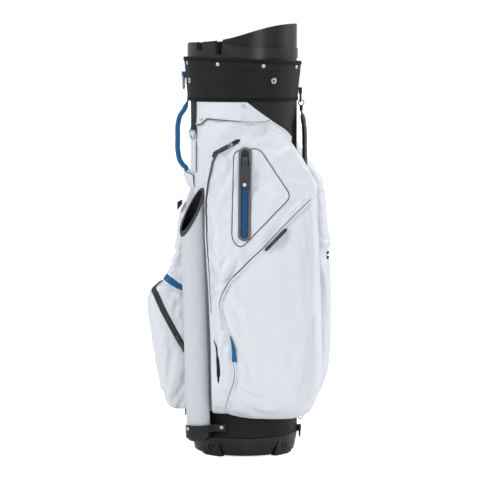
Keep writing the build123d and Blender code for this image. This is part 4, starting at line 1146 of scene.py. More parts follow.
def tools(context):
    """The sizes in millimetres and the finishes, for an operator."""
    return context.scene.golf_bag_sizes, finishes(context.scene.golf_bag_colours)


# ---------------------------------------------------------------- operators
def cut_area(height, angle):
    """A wrapped cloth's flat area in square metres, from its pattern: height (mm) summed over the
    angle (radians) it covers round the smooth body, times that body's radius."""
    between = 0.5 * (height[1:] + height[:-1])
    return float(np.sum(between * np.abs(np.diff(angle)))) * BODY_RADIUS * 1e-6


def stitches(name, lines, material, body="bag", pitch=4.2, share=0.62, radius=0.34):
    """Rows of stitches: short square threads laid end to end along each (path, up), sunk a little
    into the cloth. Each thread is the stretch of path from k * pitch to (k + share) * pitch."""
    starts, ends, outs = [], [], []
    for path, up in lines:
        run = np.concatenate([[0], np.cumsum(np.linalg.norm(np.diff(path, axis=0), axis=1))])
        at = np.arange(pitch * 0.3, run[-1] - pitch, pitch)
        for store, place in ((starts, at), (ends, at + pitch * share)):
            store.append(np.stack([np.interp(place, run, path[:, i]) for i in range(3)], -1))
        outs.append(np.stack([np.interp(at, run, up[:, i]) for i in range(3)], -1))
    a, b, up = (np.concatenate(v) for v in (starts, ends, outs))
    up /= np.linalg.norm(up, axis=1, keepdims=True)
    side = np.cross(b - a, up)
    side /= np.linalg.norm(side, axis=1, keepdims=True)
    corner = [(-1, -1), (1, -1), (1, 1), (-1, 1)]
    ring = np.stack([x * side * radius + (y * 0.8 + 0.4) * up * radius for x, y in corner], 1)
    verts = np.concatenate([a[:, None] + ring, b[:, None] + ring * 0.999], 1).reshape(-1, 3)
    cell = np.array([(0, 1, 2, 3), (7, 6, 5, 4), (0, 4, 5, 1), (1, 5, 6, 2), (2, 6, 7, 3), (3, 7, 4, 0)])
    faces = (cell[None] + 8 * np.arange(len(a))[:, None, None]).reshape(-1, 4)
    mesh = bpy.data.meshes.new(name)
    mesh.from_pydata((verts * MM).tolist(), [], faces.tolist())
    mesh.materials.append(material)
    work = bmesh.new()
    work.from_mesh(mesh)
    bmesh.ops.recalc_face_normals(work, faces=work.faces)
    work.to_mesh(mesh)
    work.free()
    piece = bpy.data.objects.new(name, mesh)
    bpy.context.scene.collection.objects.link(piece)
    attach(piece, body)
    return piece


class BagOperator(bpy.types.Operator):
    """A step of building the bag"""

    bl_options = {"REGISTER", "UNDO"}

    def execute(self, context):
        self.make(*tools(context))
        return {"FINISHED"}


class GOLFBAG_OT_finishes(BagOperator):
    """Gives every carried-over rigid part its procedural finish"""

    bl_idname = "golfbag.finishes"
    bl_label = "Rigid parts' finishes"

    def make(self, sizes, look):
        plan = {
            # the organiser band is lighter: a painted highlight along its top edge
            "moulded painted highlight": ("organiser_band",),
            "moulded plastic": ("base_cup", "organiser_shell", "tube_cup", "tube_clip", "strap_adjuster"),
            "divider plastic": ("organiser_walls",),
            "divider cloth": ("full_length_dividers",),
            "liner plastic": ("core_liner", "stay_rods"),
            "neck cloth": ("core_cover",),
            "rubber": ("base_feet",),
            "tube cloth": ("umbrella_tube",),
            "trim webbing": ("strap_tabs", "tee_loops"),
            "blue webbing": ("towel_tab",),
            "pull rubber": ("valuables_pull", "garment_pull", "lower_pull", "far_side_pull", "ball_pull"),
            "blackened metal": ("strap_rings", "strap_hook_top", "strap_hook_bottom"),
            "nickel": ("towel_ring", "hood_strap_ring", "garment_slider"),
            "smoked nickel": ("valuables_slider",),
            "gunmetal": ("lower_slider", "far_side_slider", "ball_slider"),
        }
        for finish, names in plan.items():
            for name in names:
                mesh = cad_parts[name].data
                mesh.materials.clear()
                mesh.materials.append(look[finish])


class GOLFBAG_OT_body(BagOperator):
    """Makes the white wrap on the round body, its hem, and the two yoke flaps under the collar"""

    bl_idname = "golfbag.body"
    bl_label = "Body wrap and yoke"

    def make(self, sizes, look):
        a = np.radians(np.linspace(24.5, 335.5, 420))
        x = BODY_RADIUS * np.cos(a)
        top = np.interp(x, [-120, 13, 58, 90, 100], [719.8, 719.8, 684, 660, 648])
        v = np.linspace(0, 1, 220)[:, None]
        z = 92.4 + v * (top - 92.4)
        around = np.degrees(a)[None, :] * 1.9
        folds = [
            ([(338, 700), (396, 668), (430, 640)], 9, 0.7),
            ([(376, 640), (410, 620), (420, 560)], 10, 0.6),
            ([(470, 670), (440, 650), (420, 610)], 8, 0.6),
            ([(250, 700), (288, 672), (300, 600)], 9, 0.6),
        ]
        push = creases(around + 0 * z, z, folds) * sizes.crease_depth * 450 + cloth_noise(
            around + 0 * z, z, 31, 55, 0.45
        )
        hem = np.exp(-((z - top) / 4.0) ** 2) * 0.8
        r = BODY_RADIUS + 0.3 + np.maximum(push * smoothstep((top - z) / 20), -0.8) + hem
        points = np.stack([r * np.cos(a), r * np.sin(a), z], -1)
        wrap = new_piece(
            "body_wrap_cloth", [(points, False, False)], look["coated cloth"], replaces=("body_wrap",),
            thick=0.9
        )
        # the cut's area: its height summed round the smooth body, before any crease
        cut = cut_area(top - 92.4, a)
        # the flaps: from the collar down to a hem that lifts away from the body
        hems, cut = [], 0.0
        for side in (-1, 1):
            b = np.radians(np.linspace(-143, -59.5, 150)) * -side
            bx = BODY_RADIUS * np.cos(b)
            low = keyed(bx, [-88, -80, -62, -40, 4, 45, 56], [673, 674, 686, 684.5, 682, 681, 684.5])
            high = np.interp(bx, [-120, 13, 58, 90], [719.9, 719.9, 684.5, 660])
            high = np.maximum(high, low + 0.5)
            cut += cut_area(high - low, b)
            t = np.linspace(0, 1, 40)[:, None]
            fz = low + t * (high - low)
            lift = 0.6 + 8.0 * np.exp(-(fz - low) / 6.0) * (0.7 + 0.3 * np.sin(bx / 8.0 + 1.0))
            lift = lift + cloth_noise(bx + 0 * fz, fz, 41, 40, 0.4) * smoothstep(t * 3)
            fr = BODY_RADIUS + 0.9 + lift
            flap = np.stack([fr * np.cos(b), fr * np.sin(b), fz], -1)
            hems.append((flap, False, False))
        flap = new_piece(
            "yoke_flap_cloth", hems, look["coated cloth"], replaces=("yoke_flaps",), thick=1.0
        )
        # a dark bead under each flap's hem, thickest towards the front: painted shadow where the lifted hem shades the
        # body
        bindings = []
        for flap_points, _, _ in hems:
            edge = flap_points[0] if flap_points[0, 0, 0] < flap_points[0, -1, 0] else flap_points[0, ::-1]
            share = np.linspace(0, 1, len(edge))
            size = keyed(share, [0, 0.1, 0.45, 0.8, 1], [1.4, 2.0, 1.5, 0.8, 1.1])
            out = edge * [1, 1, 0]
            bead = carry(edge - out / 109.4 * 0.7, out, oval(1.3, 1.3, 8)[None] * size[:, None, None])
            bindings.append((closed_ends(bead), False, True))
        new_piece("yoke_hem_painted_shadow", bindings, look["piping"])
        # a rolled edge where the wrap meets the black neck
        edges = []
        for side in (-1, 1):
            line = spline([(13, 719.5), (40, 698), (58, 684.5), (74, 672.5), (90, 660), (98, 650)], 80)
            y = side * np.sqrt(110.2**2 - line[:, 0] ** 2)
            path = np.stack([line[:, 0], y, line[:, 1]], -1)
            up = path * [1, 1, 0]
            edges.append((closed_ends(carry(path, up, oval(3.4, 2.6, 10), tip=3)), False, True))
        new_piece("yoke_edge_roll", edges, look["coated cloth"])
        studs = []
        for angle, z0 in ((-86, 712), (86, 712), (-135.5, 684), (135.5, 684)):
            out = (cos(radians(angle)), sin(radians(angle)), 0)
            origin = np.array(out) * (BODY_RADIUS + (3.4 if z0 > 700 else 4.6)) + [0, 0, z0]
            studs.append((on_plane(origin, out, (0, 0, 1), dome_profile(3.0, 1.6)), False, True))
        new_piece("flap_studs", studs, look["nickel"], replaces=("flap_snaps",))


class GOLFBAG_OT_side_pockets(BagOperator):
    """Makes the side pockets' cloth, the lower pockets on them and their piping"""

    bl_idname = "golfbag.side_pockets"
    bl_label = "Side pockets"

    def make(self, sizes, look):
        depth, fill, wall = sizes.crease_depth / MM, sizes.pocket_fill / MM, sizes.cloth_thickness / MM
        pipe = sizes.piping_radius / MM * 2
        for side in ("near", "far"):
            flip = [1, -1, 1] if side == "far" else [1, 1, 1]
            order = slice(None, None, -1) if side == "far" else slice(None)

            def turned(grid):
                return grid[:, order] * flip

            skin = side_skin(depth, side == "far")
            lower = lower_skin(side, fill, depth)
            cloth = new_piece(
                f"side_pocket_{side}_cloth", [(turned(skin.points), False, False)], look["coated cloth"],
                replaces=(f"side_pocket_{side}",), thick=wall
            )
            pouch = new_piece(
                f"lower_pocket_{side}_cloth", [(turned(lower.points), False, False)], look["coated cloth"],
                replaces=(f"lower_pocket_{side}",), thick=wall
            )
            seam = spline(SIDE_SEAM[:12], 300)
            seam = seam[(seam[:, 1] > 300) & (seam[:, 1] < 616)]
            seam[:, 0] += keyed(seam[:, 1], [110, 540, 590, 616], [5.0, 5.0, 7.0, 5.0])
            size = keyed(seam[:, 1], [300, 400, 480, 560, 616], [0.3, 0.6, 1.1, 1.6, 1.7])
            beads = oval(pipe, pipe, 8)[None] * size[:, None, None]
            dark = skin.strip(seam, beads, lift=0.9, smooth=30)
            pieces = [(turned(closed_ends(dark)), False, True)]
            new_piece(f"side_pocket_{side}_piping", pieces, look["piping"])
            seam = spline(LOWER_SEAM, 260)[12:-3]
            white = skin.strip(seam, oval(pipe * 1.5, pipe * 1.5, 10), lift=2.2)
            ridge = seam + [-4.5, 3.0]
            second = skin.strip(ridge[ridge[:, 1] > 120], oval(pipe * 1.1, pipe * 0.8, 8), lift=0.2)
            pieces = [(turned(closed_ends(white)), False, True), (turned(closed_ends(second)), False, True)]
            new_piece(f"lower_pocket_{side}_piping", pieces, look["coated cloth"])
            # a grey strip in the groove beside the lower pocket's seam: painted shade along the piping
            groove = seam + [-2.2, 1.6]
            size = keyed(np.linspace(0, 1, len(groove)), [0, 0.25, 0.6, 1], [0.5, 0.8, 1.2, 1.0])
            shade_line = skin.strip(groove, oval(1.5, 1.2, 8)[None] * size[:, None, None], lift=0.35)
            new_piece(
                f"lower_pocket_{side}_painted_seam_shade", [(turned(closed_ends(shade_line)), False, True)], look["painted seam shade"],
            )
            cut = seam[(seam[:, 1] > 346) & (seam[:, 1] < 440)] + [-2.4, 1.8]
            size = 0.35 + 0.65 * np.sin(np.linspace(0.12, pi - 0.12, len(cut)))
            blue = skin.strip(cut, oval(2.1, 2.0, 8)[None] * size[:, None, None], lift=0.7)
            new_piece(
                f"lower_pocket_{side}_blue_edge", [(turned(closed_ends(blue)), False, True)], look["blue cloth"],
            )
            rows = []
            for surface, line in (
                (lower, spline(LOWER_SEAM, 260)[14:-4] + [5.0, -4.0]), (skin, seam[seam[:, 1] > 130] + [-9.5, 6.0])
            ):
                path, up = surface.at(*surface.find(line[:, 0], line[:, 1]), 0.25 if surface is lower else 0.1)
                rows.append((eased(path) * flip, eased(up) * flip))
            stitches(f"lower_pocket_{side}_stitches", rows, look["thread"])
            if side == "near":
                self.trims(look, skin, lower)

    def trims(self, look, skin, lower):
        """The near side's slit vent and blue gusset wedge."""
        slit = [(-47.5, 247), (-43.5, 235), (-41, 215), (-39, 190), (-38.5, 168), (-38.5, 160)]
        line = spline(slit, 60)
        share = np.linspace(0, 1, 60)[:, None]
        width = 0.6 + 3.0 * np.sin(np.clip(share * 1.15, 0, 1) * pi * 0.5) * smoothstep((1 - share) * 8)
        profile = oval(1, 1, 10)[None] * np.stack([width * 2, 0 * width + 1.0], -1).reshape(60, 1, 2)
        vent = skin.strip(line, profile, lift=0.15)
        new_piece("pocket_vent", [(closed_ends(vent), False, True)], look["black cloth"])
        wedge = spline([(-15.5, 256), (-10.5, 240), (-8.0, 222), (-7.0, 205)], 40)
        share = np.linspace(0, 1, 40)[:, None]
        width = 1.0 + 4.2 * share**0.8
        profile = oval(1, 1, 12, power=5)[None] * np.stack([width * 2, 0 * width + 1.2], -1).reshape(40, 1, 2)
        gusset = skin.strip(wedge + [2.0, 0], profile, lift=5.5)
        new_piece("lower_pocket_gusset", [(closed_ends(gusset), False, True)], look["blue cloth"])


def face_frame():
    """The valuables panel's plane: its origin, across, up the face and outwards."""
    out = np.array([0, -1, FACE_SLOPE]) / sqrt(1 + FACE_SLOPE**2)
    across = np.array([1.0, 0, 0])
    up = np.cross(out, across)
    return np.array([PANEL_CENTRE[0], face_y(PANEL_CENTRE[1]), PANEL_CENTRE[1]]), across, up, out


def on_face(u, v, lift):
    """Points on the valuables panel's plane, in its own coordinates."""
    origin, across, up, out = face_frame()
    u, v, lift = np.broadcast_arrays(*(np.asarray(t, float)[..., None] for t in (u, v, lift)))
    return origin + u * across + v * up + lift * out


class GOLFBAG_OT_valuables(BagOperator):
    """Makes the valuables pocket's welded panel, its outline, the zip's surround and the blue tape"""

    bl_idname = "golfbag.valuables"
    bl_label = "Valuables pocket"

    def make(self, sizes, look):
        skin = side_skin(sizes.crease_depth / MM)
        outline = rounded(PANEL_OUTLINE, 15, 300) + PANEL_CENTRE
        s = np.concatenate([[0.0], np.linspace(0.04, 1, 60)])[:, None]
        centre = np.array([38.0, 534.0])
        x = centre[0] + (outline[:, 0] - centre[0]) * s
        z = centre[1] + (outline[:, 1] - centre[1]) * s
        edge = distance(x, z, np.vstack([outline, outline[:1]]))[0]
        lift = 0.2 + 1.1 * (1 - np.exp(-edge / 1.6))
        panel = skin.at(*skin.find(x, z), lift)[0]
        new_piece(
            "valuables_panel_cloth", [(panel[::-1], False, True)], look["coated cloth"], replaces=("valuables_panel",),
        )
        path, up = skin.at(*skin.find(outline[:, 0], outline[:, 1]), 0.55)
        loop = carry(np.vstack([path[-2:], path, path[:2]]), np.vstack([up[-2:], up, up[:2]]), oval(1.9, 1.7, 8))[2:-2]
        new_piece("valuables_outline", [(loop, True, True)], look["piping"])
        self.surround(look)

    def surround(self, look):
        """The slot-shaped moulding: a bead carried round a stadium, and the tape inside it."""
        half, radius = (187.0 - 26.0) / 2, (26.0 + 15.0) / 4
        a = np.radians(np.linspace(0, 180, 30))
        top = np.stack([radius * np.cos(a), half + radius * np.sin(a)], -1)
        line = np.vstack([top, top[:, ::1] * [-1, -1]])
        line = resample(np.vstack([line, line[:1]]), 240, closed=True)
        path = on_face(line[:, 0] - 0.5, line[:, 1], 2.7)
        up = np.broadcast_to(face_frame()[3], path.shape)
        bead = np.array(
            [
                (-2.75, 0), (-2.75, 1.4), (-2.3, 2.3), (-1.2, 2.7), (0.6, 2.6), (2.0, 2.0), (2.7, 1.0), (2.75, 0),
                (0, -0.4)
            ]
        )
        ring = carry(np.vstack([path[-2:], path, path[:2]]), np.vstack([up[-2:], up, up[:2]]), bead)[2:-2]
        new_piece(
            "valuables_zip_surround", [(ring, True, True)], look["zip surround"], replaces=("valuables_surround",),
        )
        v = np.linspace(-88, 88, 200)
        path = on_face(-0.5 + 0 * v, v, 2.7)
        up = np.broadcast_to(face_frame()[3], path.shape)
        width = 7.2 * np.sqrt(np.clip(1 - np.clip((np.abs(v) - 80.8) / 7.2, 0, 1) ** 2, 0.02, 1))
        shape = np.array(
            [
                (-1, 0), (-1, 0.7), (-0.55, 1.15), (-0.14, 1.2), (-0.05, 0.75), (0.05, 0.75), (0.14, 1.2), (0.55, 1.15),
                (1, 0.7), (1, 0)
            ]
        )
        profile = shape[None] * np.stack([width, 0 * width + 1], -1)[:, None]
        tape = carry(path, up, profile)
        new_piece(
            "valuables_zip_tape", [(closed_ends(tape), False, True)], look["blue tape"], replaces=("valuables_tape",),
        )
        v = np.linspace(50, 88, 50)
        width = 7.3 * np.sqrt(
            np.clip(1 - np.clip((v - 80.9) / 7.3, 0, 1) ** 2, 0.02, 1)
        ) * (0.25 + 0.75 * smoothstep((v - 50) / 9))
        cover = np.array([(-1, 0), (-1, 0.8), (-0.8, 1.1), (0, 1.22), (0.8, 1.1), (1, 0.8), (1, 0)])
        path = on_face(-0.5 + 0 * v, v, 2.72)
        cap = carry(
            path, np.broadcast_to(face_frame()[3], path.shape),
            cover[None] * np.stack([width, 0 * width + 1], -1)[:, None]
        )
        new_piece("valuables_zip_garage", [(closed_ends(cap), False, True)], look["coated zip"])
        # the white stud near the pull's free end
        _, _, up, out = face_frame()
        centre = on_face(-0.5, PULL_EYE, PULL_FACE).reshape(3)
        eyelet = [(3.3, -0.9), (3.5, 0.15), (3.1, 0.6), (2.2, 0.75), (1.2, 0.7), (0, 0.7)]
        new_piece(
            "valuables_pull_stud", [(on_plane(centre, out, up, eyelet, 28), False, True)], look["coated cloth"],
            body="valuables_pull"
        )


class GOLFBAG_OT_zips(BagOperator):
    """Makes the coated zips of the garment, lower, far side and ball pockets"""

    bl_idname = "golfbag.zips"
    bl_label = "Zips"

    def make(self, sizes, look):
        depth = sizes.crease_depth / MM
        skin = side_skin(depth)
        front = front_skin(depth)
        lip = np.array(
            [
                (-1, 0), (-1, 0.45), (-0.6, 1.0), (-0.14, 1.1), (-0.05, 0.5), (0.05, 0.5), (0.14, 1.1), (0.6, 1.0),
                (1, 0.45), (1, 0), (0, -0.6)
            ]
        )

        def zip_profile(width, count, taper=6):
            share = np.linspace(0, 1, count)
            w = width / 2 * np.clip(np.minimum(share, 1 - share) * count / taper + 0.3, 0, 1)
            return lip[None] * np.stack([w, 0 * w + 1.25], -1)[:, None]

        grids = []
        line = spline([(2.5, 645.5), (-17, 634.5), (-34, 625.2), (-46.7, 618), (-53, 610), (-56, 600)], 90)
        grids.append((closed_ends(skin.strip(line, zip_profile(9.5, 90, 10), lift=0.2)), False, True))
        # the lower pocket's zip lies straight where its slider runs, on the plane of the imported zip
        s = np.linspace(-47, 15, 90)
        turn = radians(45.7 - 90.0)
        out = np.array([0, -1, FACE_SLOPE]) / sqrt(1 + FACE_SLOPE**2)
        rise = np.cross(out, [1.0, 0, 0])
        along = -sin(turn) * np.array([1.0, 0, 0]) + cos(turn) * rise
        origin = np.array([88.0, face_y(460), 460.0]) + out * 10.0
        path = origin + s[:, None] * along
        grids.append(
            (closed_ends(carry(path, np.broadcast_to(out, path.shape), zip_profile(7.0, 90, 10))), False, True)
        )
        z = np.linspace(617, 451, 120)
        out = np.array([0, 1, FACE_SLOPE]) / sqrt(1 + FACE_SLOPE**2)
        path = np.stack([np.full(120, 26.0), -face_y(z), z], -1) + out * 0.2
        strip = carry(path, np.broadcast_to(out, path.shape), zip_profile(10.5, 120, 8))
        grids.append((closed_ends(strip), False, True))
        new_piece("pocket_zips", grids, look["coated zip"], replaces=("zip_tapes",))
        # the ball pocket's zip arches from the near side over the front to the far side
        near = [
            (-119, -73, 219.5), (-129.3, -73, 238.2), (-150, -73, 275.5), (-166, -73, 304.3), (-171, -71, 318),
            (-174, -66, 331), (-175.5, -52, 339.5), (-176, -25, 342.5)
        ]
        arch = near + [(-176, 0, 343)] + [(x, -y, z) for x, y, z in near[::-1]]
        arch = spline(arch, 300)
        angle = np.degrees(np.arctan2(-arch[:, 1], -arch[:, 0] - 90))
        line = np.stack([angle, arch[:, 2]], -1)
        zipped = front.strip(line, zip_profile(12.0, 300, 8), lift=0.3, smooth=30)
        new_piece("ball_pocket_zip", [(closed_ends(zipped), False, True)], look["coated zip"])


class GOLFBAG_OT_front(BagOperator):
    """Makes the ball pocket and the padded front pocket with its blue stripe"""

    bl_idname = "golfbag.front"
    bl_label = "Front pockets"

    def make(self, sizes, look):
        skin = front_skin(sizes.crease_depth / MM)
        cloth = new_piece(
            "front_pockets_cloth", [(skin.points, False, False)], look["coated cloth"],
            replaces=("ball_pocket", "front_pocket"), thick=sizes.cloth_thickness / MM
        )
        line = spline(
            [
                (-112, 318), (-95, 322), (-70, 336), (-56, 349), (-44, 361), (-25, 368), (0, 370), (25, 368), (44, 361),
                (56, 349), (70, 336), (95, 322), (112, 318)
            ],
            220
        )
        stripe = skin.strip(line, oval(13.5, 1.4, 14, power=6), lift=0.5, smooth=20)
        new_piece("front_stripe", [(closed_ends(stripe), False, True)], look["blue cloth"])
        seams = []
        for points in (
            [(-104, 240), (-84, 292), (-70, 322), (-40, 342), (0, 346), (40, 342), (70, 322), (84, 292), (104, 240)],
        ):
            seams.append((closed_ends(skin.strip(spline(points, 160), oval(2.4, 2.2, 8), lift=0.2)), False, True))
        new_piece("ball_pocket_piping", seams, look["coated cloth"])


class GOLFBAG_OT_collar(BagOperator):
    """Makes the collar's woven band with its bindings, the rivets and the hood's press studs"""

    bl_idname = "golfbag.collar"
    bl_label = "Collar"

    def make(self, sizes, look):
        low, high = COLLAR_LOW, COLLAR_HIGH
        bind = sizes.binding_width / MM

        def radius(z):
            return COLLAR_LOW_RADIUS + (COLLAR_HIGH_RADIUS - COLLAR_LOW_RADIUS) * (z - low) / (high - low)

        a = np.linspace(0, 2 * pi, 240, endpoint=False)
        top = high + COLLAR_SLOPE * COLLAR_HIGH_RADIUS * np.cos(a)
        # outside from the foot up, over the top edge, and down inside
        v = np.linspace(0, 1, 60)[:, None]
        z = low + v * (top - low)
        r = radius(z) + cloth_noise(
            a[None] * 60 + 0 * z, z * 2, 51, 40, 0.5
        ) * smoothstep(v * 4) * smoothstep((1 - v) * 4)
        r = r + 0.5 * (np.exp(-(((z - low) / bind) ** 4)) + np.exp(-(((top - z) / bind) ** 4)))
        roof = np.stack([radius(top) + 0.5 - 0.4 * t for t in range(4)])
        roof_z = np.stack([top + 0.5 * t for t in (0.6, 1.0, 1.1, 0.9)])
        t = np.linspace(0, 1, 10)[:, None]
        inner = radius(top)[None] - 2.4 - t * 4.5
        inner_z = top[None] + 0.2 - t * 26
        r = np.concatenate([r, roof, inner])
        z = np.concatenate([z, roof_z, inner_z])
        band = np.stack([TOP_X + r * np.cos(a), r * np.sin(a), z], -1)
        under = band[:1] * [1, 1, 1]
        shrink = np.array([[TOP_X, 0, 0]])
        under = np.stack([shrink + (under[0] - shrink) * [k, k, 1] for k in (0.975, 0.985, 0.993)])
        band = np.concatenate([under, band])
        collar = new_piece(
            "collar_cloth", [(band, False, True)], look["black cloth"], replaces=("collar_band",)
        )
        # bindings along both edges, and a row of stitches beside each
        rows = []
        for zz in (np.full_like(a, low + bind + 2.0), top - bind - 1.6):
            rr = radius(zz) + 0.45
            path = np.stack([TOP_X + rr * np.cos(a), rr * np.sin(a), zz], -1)
            rows.append((np.vstack([path, path[:1]]), np.vstack([path, path[:1]]) * [1, 1, 0]))
        stitches("collar_stitches", rows, look["black thread"])
        loops = []
        for edge, lift in ((low + 0.55 * bind, 0.9), (None, 0.9)):
            zz = np.full_like(a, edge) if edge else top - 0.5 * bind
            rr = radius(zz) + lift - 0.4
            path = np.stack([TOP_X + rr * np.cos(a), rr * np.sin(a), zz], -1)
            up = np.stack([np.cos(a), np.sin(a), 0 * a], -1)
            wrap = np.vstack([path[-2:], path, path[:2]])
            strip = carry(wrap, np.vstack([up[-2:], up, up[:2]]), oval(bind, 1.8, 12, power=4))[2:-2]
            loops.append((strip, True, True))
        new_piece("collar_binding", loops, look["binding"])
        rivets, snaps, hearts = [], [], []
        lean = (COLLAR_HIGH_RADIUS - COLLAR_LOW_RADIUS) / (high - low)
        for k in range(8):
            angle = radians(-109.5 + 45 * k)
            zc = high + COLLAR_SLOPE * COLLAR_HIGH_RADIUS * cos(angle) - 11.5
            out = np.array([cos(angle), sin(angle), -lean])
            origin = np.array([TOP_X + (radius(zc) + 0.7) * cos(angle), (radius(zc) + 0.7) * sin(angle), zc])
            rivets.append((on_plane(origin, out, (0, 0, 1), dome_profile(4.2, 2.2)), False, True))
        for angle in (-52.5, 52.5, -152.5, 152.5):
            angle = radians(angle)
            out = np.array([cos(angle), sin(angle), -lean])
            origin = np.array([TOP_X + (radius(762) + 0.5) * cos(angle), (radius(762) + 0.5) * sin(angle), 762.0])
            ring = [(5.6, -0.8), (6.2, 0.0), (6.0, 0.9), (5.2, 1.5), (4.4, 1.3), (3.7, 0.7), (3.4, 0.5), (0, 0.5)]
            snaps.append((on_plane(origin, out, (0, 0, 1), ring, 28), False, True))
            heart = [(2.6, 0.4), (2.5, 1.1), (1.8, 1.6), (0, 1.7)]
            hearts.append((on_plane(origin, out, (0, 0, 1), heart, 20), False, True))
        new_piece("collar_rivet_heads", rivets, look["nickel"], replaces=("collar_rivets",))
        new_piece("hood_snap_rings", snaps, look["nickel"], replaces=("hood_snaps",))
        new_piece("hood_snap_hearts", hearts, look["gunmetal"])


class GOLFBAG_OT_foot(BagOperator):
    """Makes the base band's cloth, the cup's strap and rivets, and the lift handle"""

    bl_idname = "golfbag.foot"
    bl_label = "Foot"

    def make(self, sizes, look):
        a = np.linspace(0, 2 * pi, 240, endpoint=False)[None]
        z = np.linspace(BAND_LOW, BAND_HIGH, 40)[:, None]
        r = 109.5 + cloth_noise(a * 60, z * 2 + 0 * a, 61, 40, 0.35) + 1.0 * np.exp(-(((z - 43) / 3.0) ** 2))
        r = r - 1.2 * np.exp(-((z - BAND_LOW) / 1.2))
        band = np.stack([r * np.cos(a), r * np.sin(a), z + 0 * a], -1)
        foot = new_piece(
            "base_band_cloth", [(band, False, True)], look["black cloth"], replaces=("base_band",),
            thick=0.8
        )
        # the cup's strap: a webbing strip round the tube's cup and along the body
        cup = TUBE_FOOT[:2]
        line = np.array(
            [
                (cup[0] - 20, cup[1] - 20, 0), (cup[0] - 8, cup[1] - 27.8, 0), (cup[0] + 6, cup[1] - 27.6, 0),
                (cup[0] + 20, cup[1] - 19.5, 0), (-50, -113.2, 0), (-36, -113.4, 0), (-27, -112.6, 0)
            ]
        )
        path = spline(line, 60) + [0, 0, 62]
        side = np.gradient(path, axis=0)
        up = np.cross(side, [0, 0, 1.0])
        new_piece(
            "cup_strap_webbing", [(closed_ends(carry(path, up, oval(15, 2.0, 14, power=5))), False, True)],
            look["black webbing"], replaces=("cup_strap",)
        )
        rivets = []
        out = np.array([cos(radians(228)), sin(radians(228)), 0])
        rivets.append((on_plane([*(cup + out[:2] * 28.3), 62.0], out, (0, 0, 1), dome_profile(4.0, 2.2)), False, True))
        rivets.append((on_plane([-36, -114.6, 63.0], (0, -1, 0), (0, 0, 1), dome_profile(4.0, 2.2)), False, True))
        new_piece("cup_rivet_heads", rivets, look["nickel"], replaces=("cup_rivets",))
        line = spline(
            [
                (-101, -44, 80), (-110, -38, 80), (-120, -20, 80), (-122.5, 0, 80), (-120, 20, 80), (-110, 38, 80),
                (-101, 44, 80)
            ],
            80
        )
        up = line * [1, 1, 0]
        new_piece(
            "lift_handle_webbing", [(closed_ends(carry(line, up, oval(20, 2.6, 14, power=5))), False, True)],
            look["black webbing"], replaces=("base_handle",)
        )


